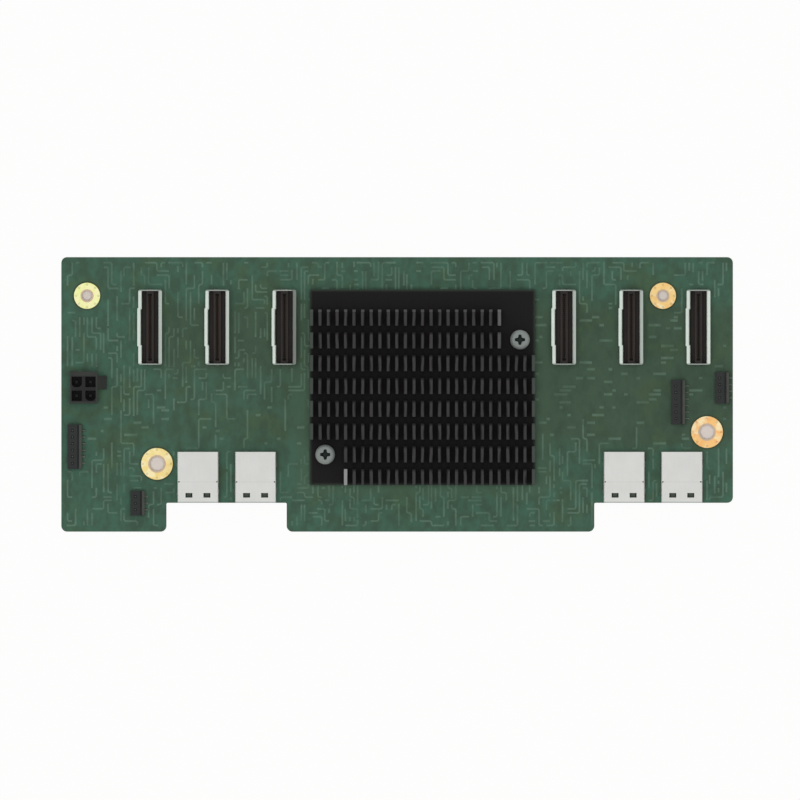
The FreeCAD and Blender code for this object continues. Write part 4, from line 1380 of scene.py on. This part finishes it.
class MIDPLANE_OT_solder(bpy.types.Operator):
    """Sets a fillet of solder round every leg and pin that comes out under the board"""

    bl_idname = "midplane.solder"
    bl_label = "Solder joints"

    def execute(self, context):
        solder = solder_finish("bright solder", context.scene.midplane_connectors.solder)
        fillet = ((1.0, 0.02), (0.93, -0.08), (0.66, -0.28), (0.45, -0.55), (0.36, -0.78), (0.2, -0.84))
        joint = lathe("joint", [(r * MM, UNDER + z * MM) for r, z in fillet], steps=24)
        joints = []
        for spot, width, depth in self.tails():
            made = clone(joint, "joint", spot)
            with editing(made):
                bpy.ops.transform.resize(value=(width, depth, 1), center_override=spot)
            joints.append(made)
        discard(joint)
        ready(join("solder_joints", joints), solder, "pin_tin")
        return {"FINISHED"}

    @staticmethod
    def tails():
        """Where each tail leaves the board, with the joint's width and depth in millimetres."""
        half_leg, half_wall, half_pin = 0.175 * MM, 0.2 * MM, 0.535 * MM
        leg_backs = (3.4 * MM, 11.8 * MM)
        for number in SOCKETS:
            low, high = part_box(f"socket_body_{number}")
            for y in (low.y - half_leg, high.y + half_leg):
                yield Vector(((low.x + high.x) / 2, y, 0)), 1.35, 0.85
        for number in PORTS:
            low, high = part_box(f"port_cage_{number}")
            for x in (low.x + half_wall, high.x - half_wall):
                for back in leg_backs:
                    yield Vector((x, low.y + back, 0)), 0.85, 1.25
        low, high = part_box("power_header_pins")
        for x in (low.x + half_pin, high.x - half_pin):
            for y in (low.y + half_pin, high.y - half_pin):
                yield Vector((x, y, 0)), 1.4, 1.4


# Stage

class MIDPLANE_OT_stage(bpy.types.Operator):
    """Sets the pale floor, the sky, the soft lamp and the camera above the board"""

    bl_idname = "midplane.stage"
    bl_label = "Stage"

    def execute(self, context):
        stage = context.scene.midplane_stage
        self.floor(stage)
        self.sky(context.scene, stage)
        self.lamp(stage)
        self.camera(context.scene, stage)
        context.scene.view_settings.view_transform = "Standard"
        return {"FINISHED"}

    @staticmethod
    def seen(tree):
        """1 on rays that show the background: from the camera, off a glossy surface or through glass."""
        path = tree.nodes.new("ShaderNodeLightPath")
        total = path.outputs["Is Camera Ray"]
        for name in ("Is Glossy Ray", "Is Transmission Ray"):
            most = tree.nodes.new("ShaderNodeMath")
            most.operation = "MAXIMUM"
            tree.links.new(total, most.inputs[0])
            tree.links.new(path.outputs[name], most.inputs[1])
            total = most.outputs[0]
        return total

    def floor(self, stage):
        """A floor just under the board: mostly plain white to the eye, and its own colour below the board."""
        select_only()
        bpy.ops.mesh.primitive_plane_add(size=6, location=(0, 0, -0.02 * MM))
        floor = added("floor")
        finish = Finish("floor", Base_Color=(*stage.floor, 1), Roughness=1.0, Specular_IOR_Level=0.0)
        x, y = finish.axis("X"), finish.axis("Y")
        front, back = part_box("port_cage_1")[0].y / MM, BOARD_HIGH.y / MM
        below = x.near(0, BOARD_HIGH.x / MM - 1, 1) * y.rise(front, front + 1) * (1 - y.rise(back - 1, back))
        share = (1 - below) * stage.glow * Signal(finish, self.seen(finish.tree))
        matt = Signal(finish, finish.shader.outputs[0])
        white = finish.node("ShaderNodeEmission", sockets={"Color": (1, 1, 1, 1)})
        mixed = finish.node("ShaderNodeMixShader", sockets={0: share, 1: matt, 2: white})
        finish.tree.links.new(mixed.socket, finish.output.inputs["Surface"])
        floor.data.materials.append(finish.material)

    def sky(self, scene, stage):
        """A white sky that lights matt surfaces less than it shows."""
        world = bpy.data.worlds.new("sky")
        scene.world = world
        world.use_nodes = True
        tree = world.node_tree
        sky = tree.nodes["Background"]
        sky.inputs["Color"].default_value = (1, 1, 1, 1)
        strength = tree.nodes.new("ShaderNodeMapRange")
        strength.inputs["To Min"].default_value = stage.ambient
        strength.inputs["To Max"].default_value = 1.0
        tree.links.new(self.seen(tree), strength.inputs["Value"])
        tree.links.new(strength.outputs[0], sky.inputs["Strength"])

    @staticmethod
    def lamp(stage):
        """One broad lamp overhead, which leans a little to the front left."""
        select_only()
        bpy.ops.object.light_add(type="SUN", location=(0, 0, stage.height))
        lamp = bpy.context.active_object
        lamp.name = "overhead"
        lamp.data.energy = stage.key
        lamp.data.angle = stage.softness
        lamp.visible_glossy = False
        lean = math.tan(stage.lean) * math.sqrt(0.5)
        lamp.rotation_euler = Vector((lean, lean, -1)).to_track_quat("-Z", "Y").to_euler()

    @staticmethod
    def camera(scene, stage):
        """A square-on view without perspective."""
        bpy.ops.object.camera_add(location=(*stage.aim, TOP + stage.height), rotation=(0, 0, 0))
        camera = bpy.context.active_object
        camera.data.type = "ORTHO"
        camera.data.ortho_scale = stage.view_width
        camera.data.clip_end = 10
        scene.camera = camera


class MIDPLANE_PT_panel(bpy.types.Panel):
    """Lists the operators that build the board"""

    bl_label = "Midplane board"
    bl_space_type = "VIEW_3D"
    bl_region_type = "UI"
    bl_category = "Midplane"

    def draw(self, context):
        for operator in OPERATORS:
            self.layout.operator(operator.bl_idname)


SETTINGS = {
    "midplane_board": BoardSettings,
    "midplane_pads": PadSettings,
    "midplane_heat_sink": HeatSinkSettings,
    "midplane_fasteners": FastenerSettings,
    "midplane_connectors": ConnectorSettings,
    "midplane_stage": StageSettings,
}
OPERATORS = (
    MIDPLANE_OT_board,
    MIDPLANE_OT_traces,
    MIDPLANE_OT_pads,
    MIDPLANE_OT_heat_sink,
    MIDPLANE_OT_fasteners,
    MIDPLANE_OT_chip,
    MIDPLANE_OT_sockets,
    MIDPLANE_OT_ports,
    MIDPLANE_OT_headers,
    MIDPLANE_OT_solder,
    MIDPLANE_OT_stage,
)


def register():
    for kind in (*SETTINGS.values(), *OPERATORS, MIDPLANE_PT_panel):
        bpy.utils.register_class(kind)
    for name, kind in SETTINGS.items():
        setattr(bpy.types.Scene, name, PointerProperty(type=kind))


def unregister():
    for name in SETTINGS:
        delattr(bpy.types.Scene, name)
    for kind in reversed((*SETTINGS.values(), *OPERATORS, MIDPLANE_PT_panel)):
        bpy.utils.unregister_class(kind)


def main():
    register()
    bpy.ops.midplane.board()
    bpy.ops.midplane.traces()
    bpy.ops.midplane.pads()
    bpy.ops.midplane.heat_sink()
    bpy.ops.midplane.fasteners()
    bpy.ops.midplane.chip()
    bpy.ops.midplane.sockets()
    bpy.ops.midplane.ports()
    bpy.ops.midplane.headers()
    bpy.ops.midplane.solder()
    bpy.ops.midplane.stage()


if __name__ == "__main__":
    main()
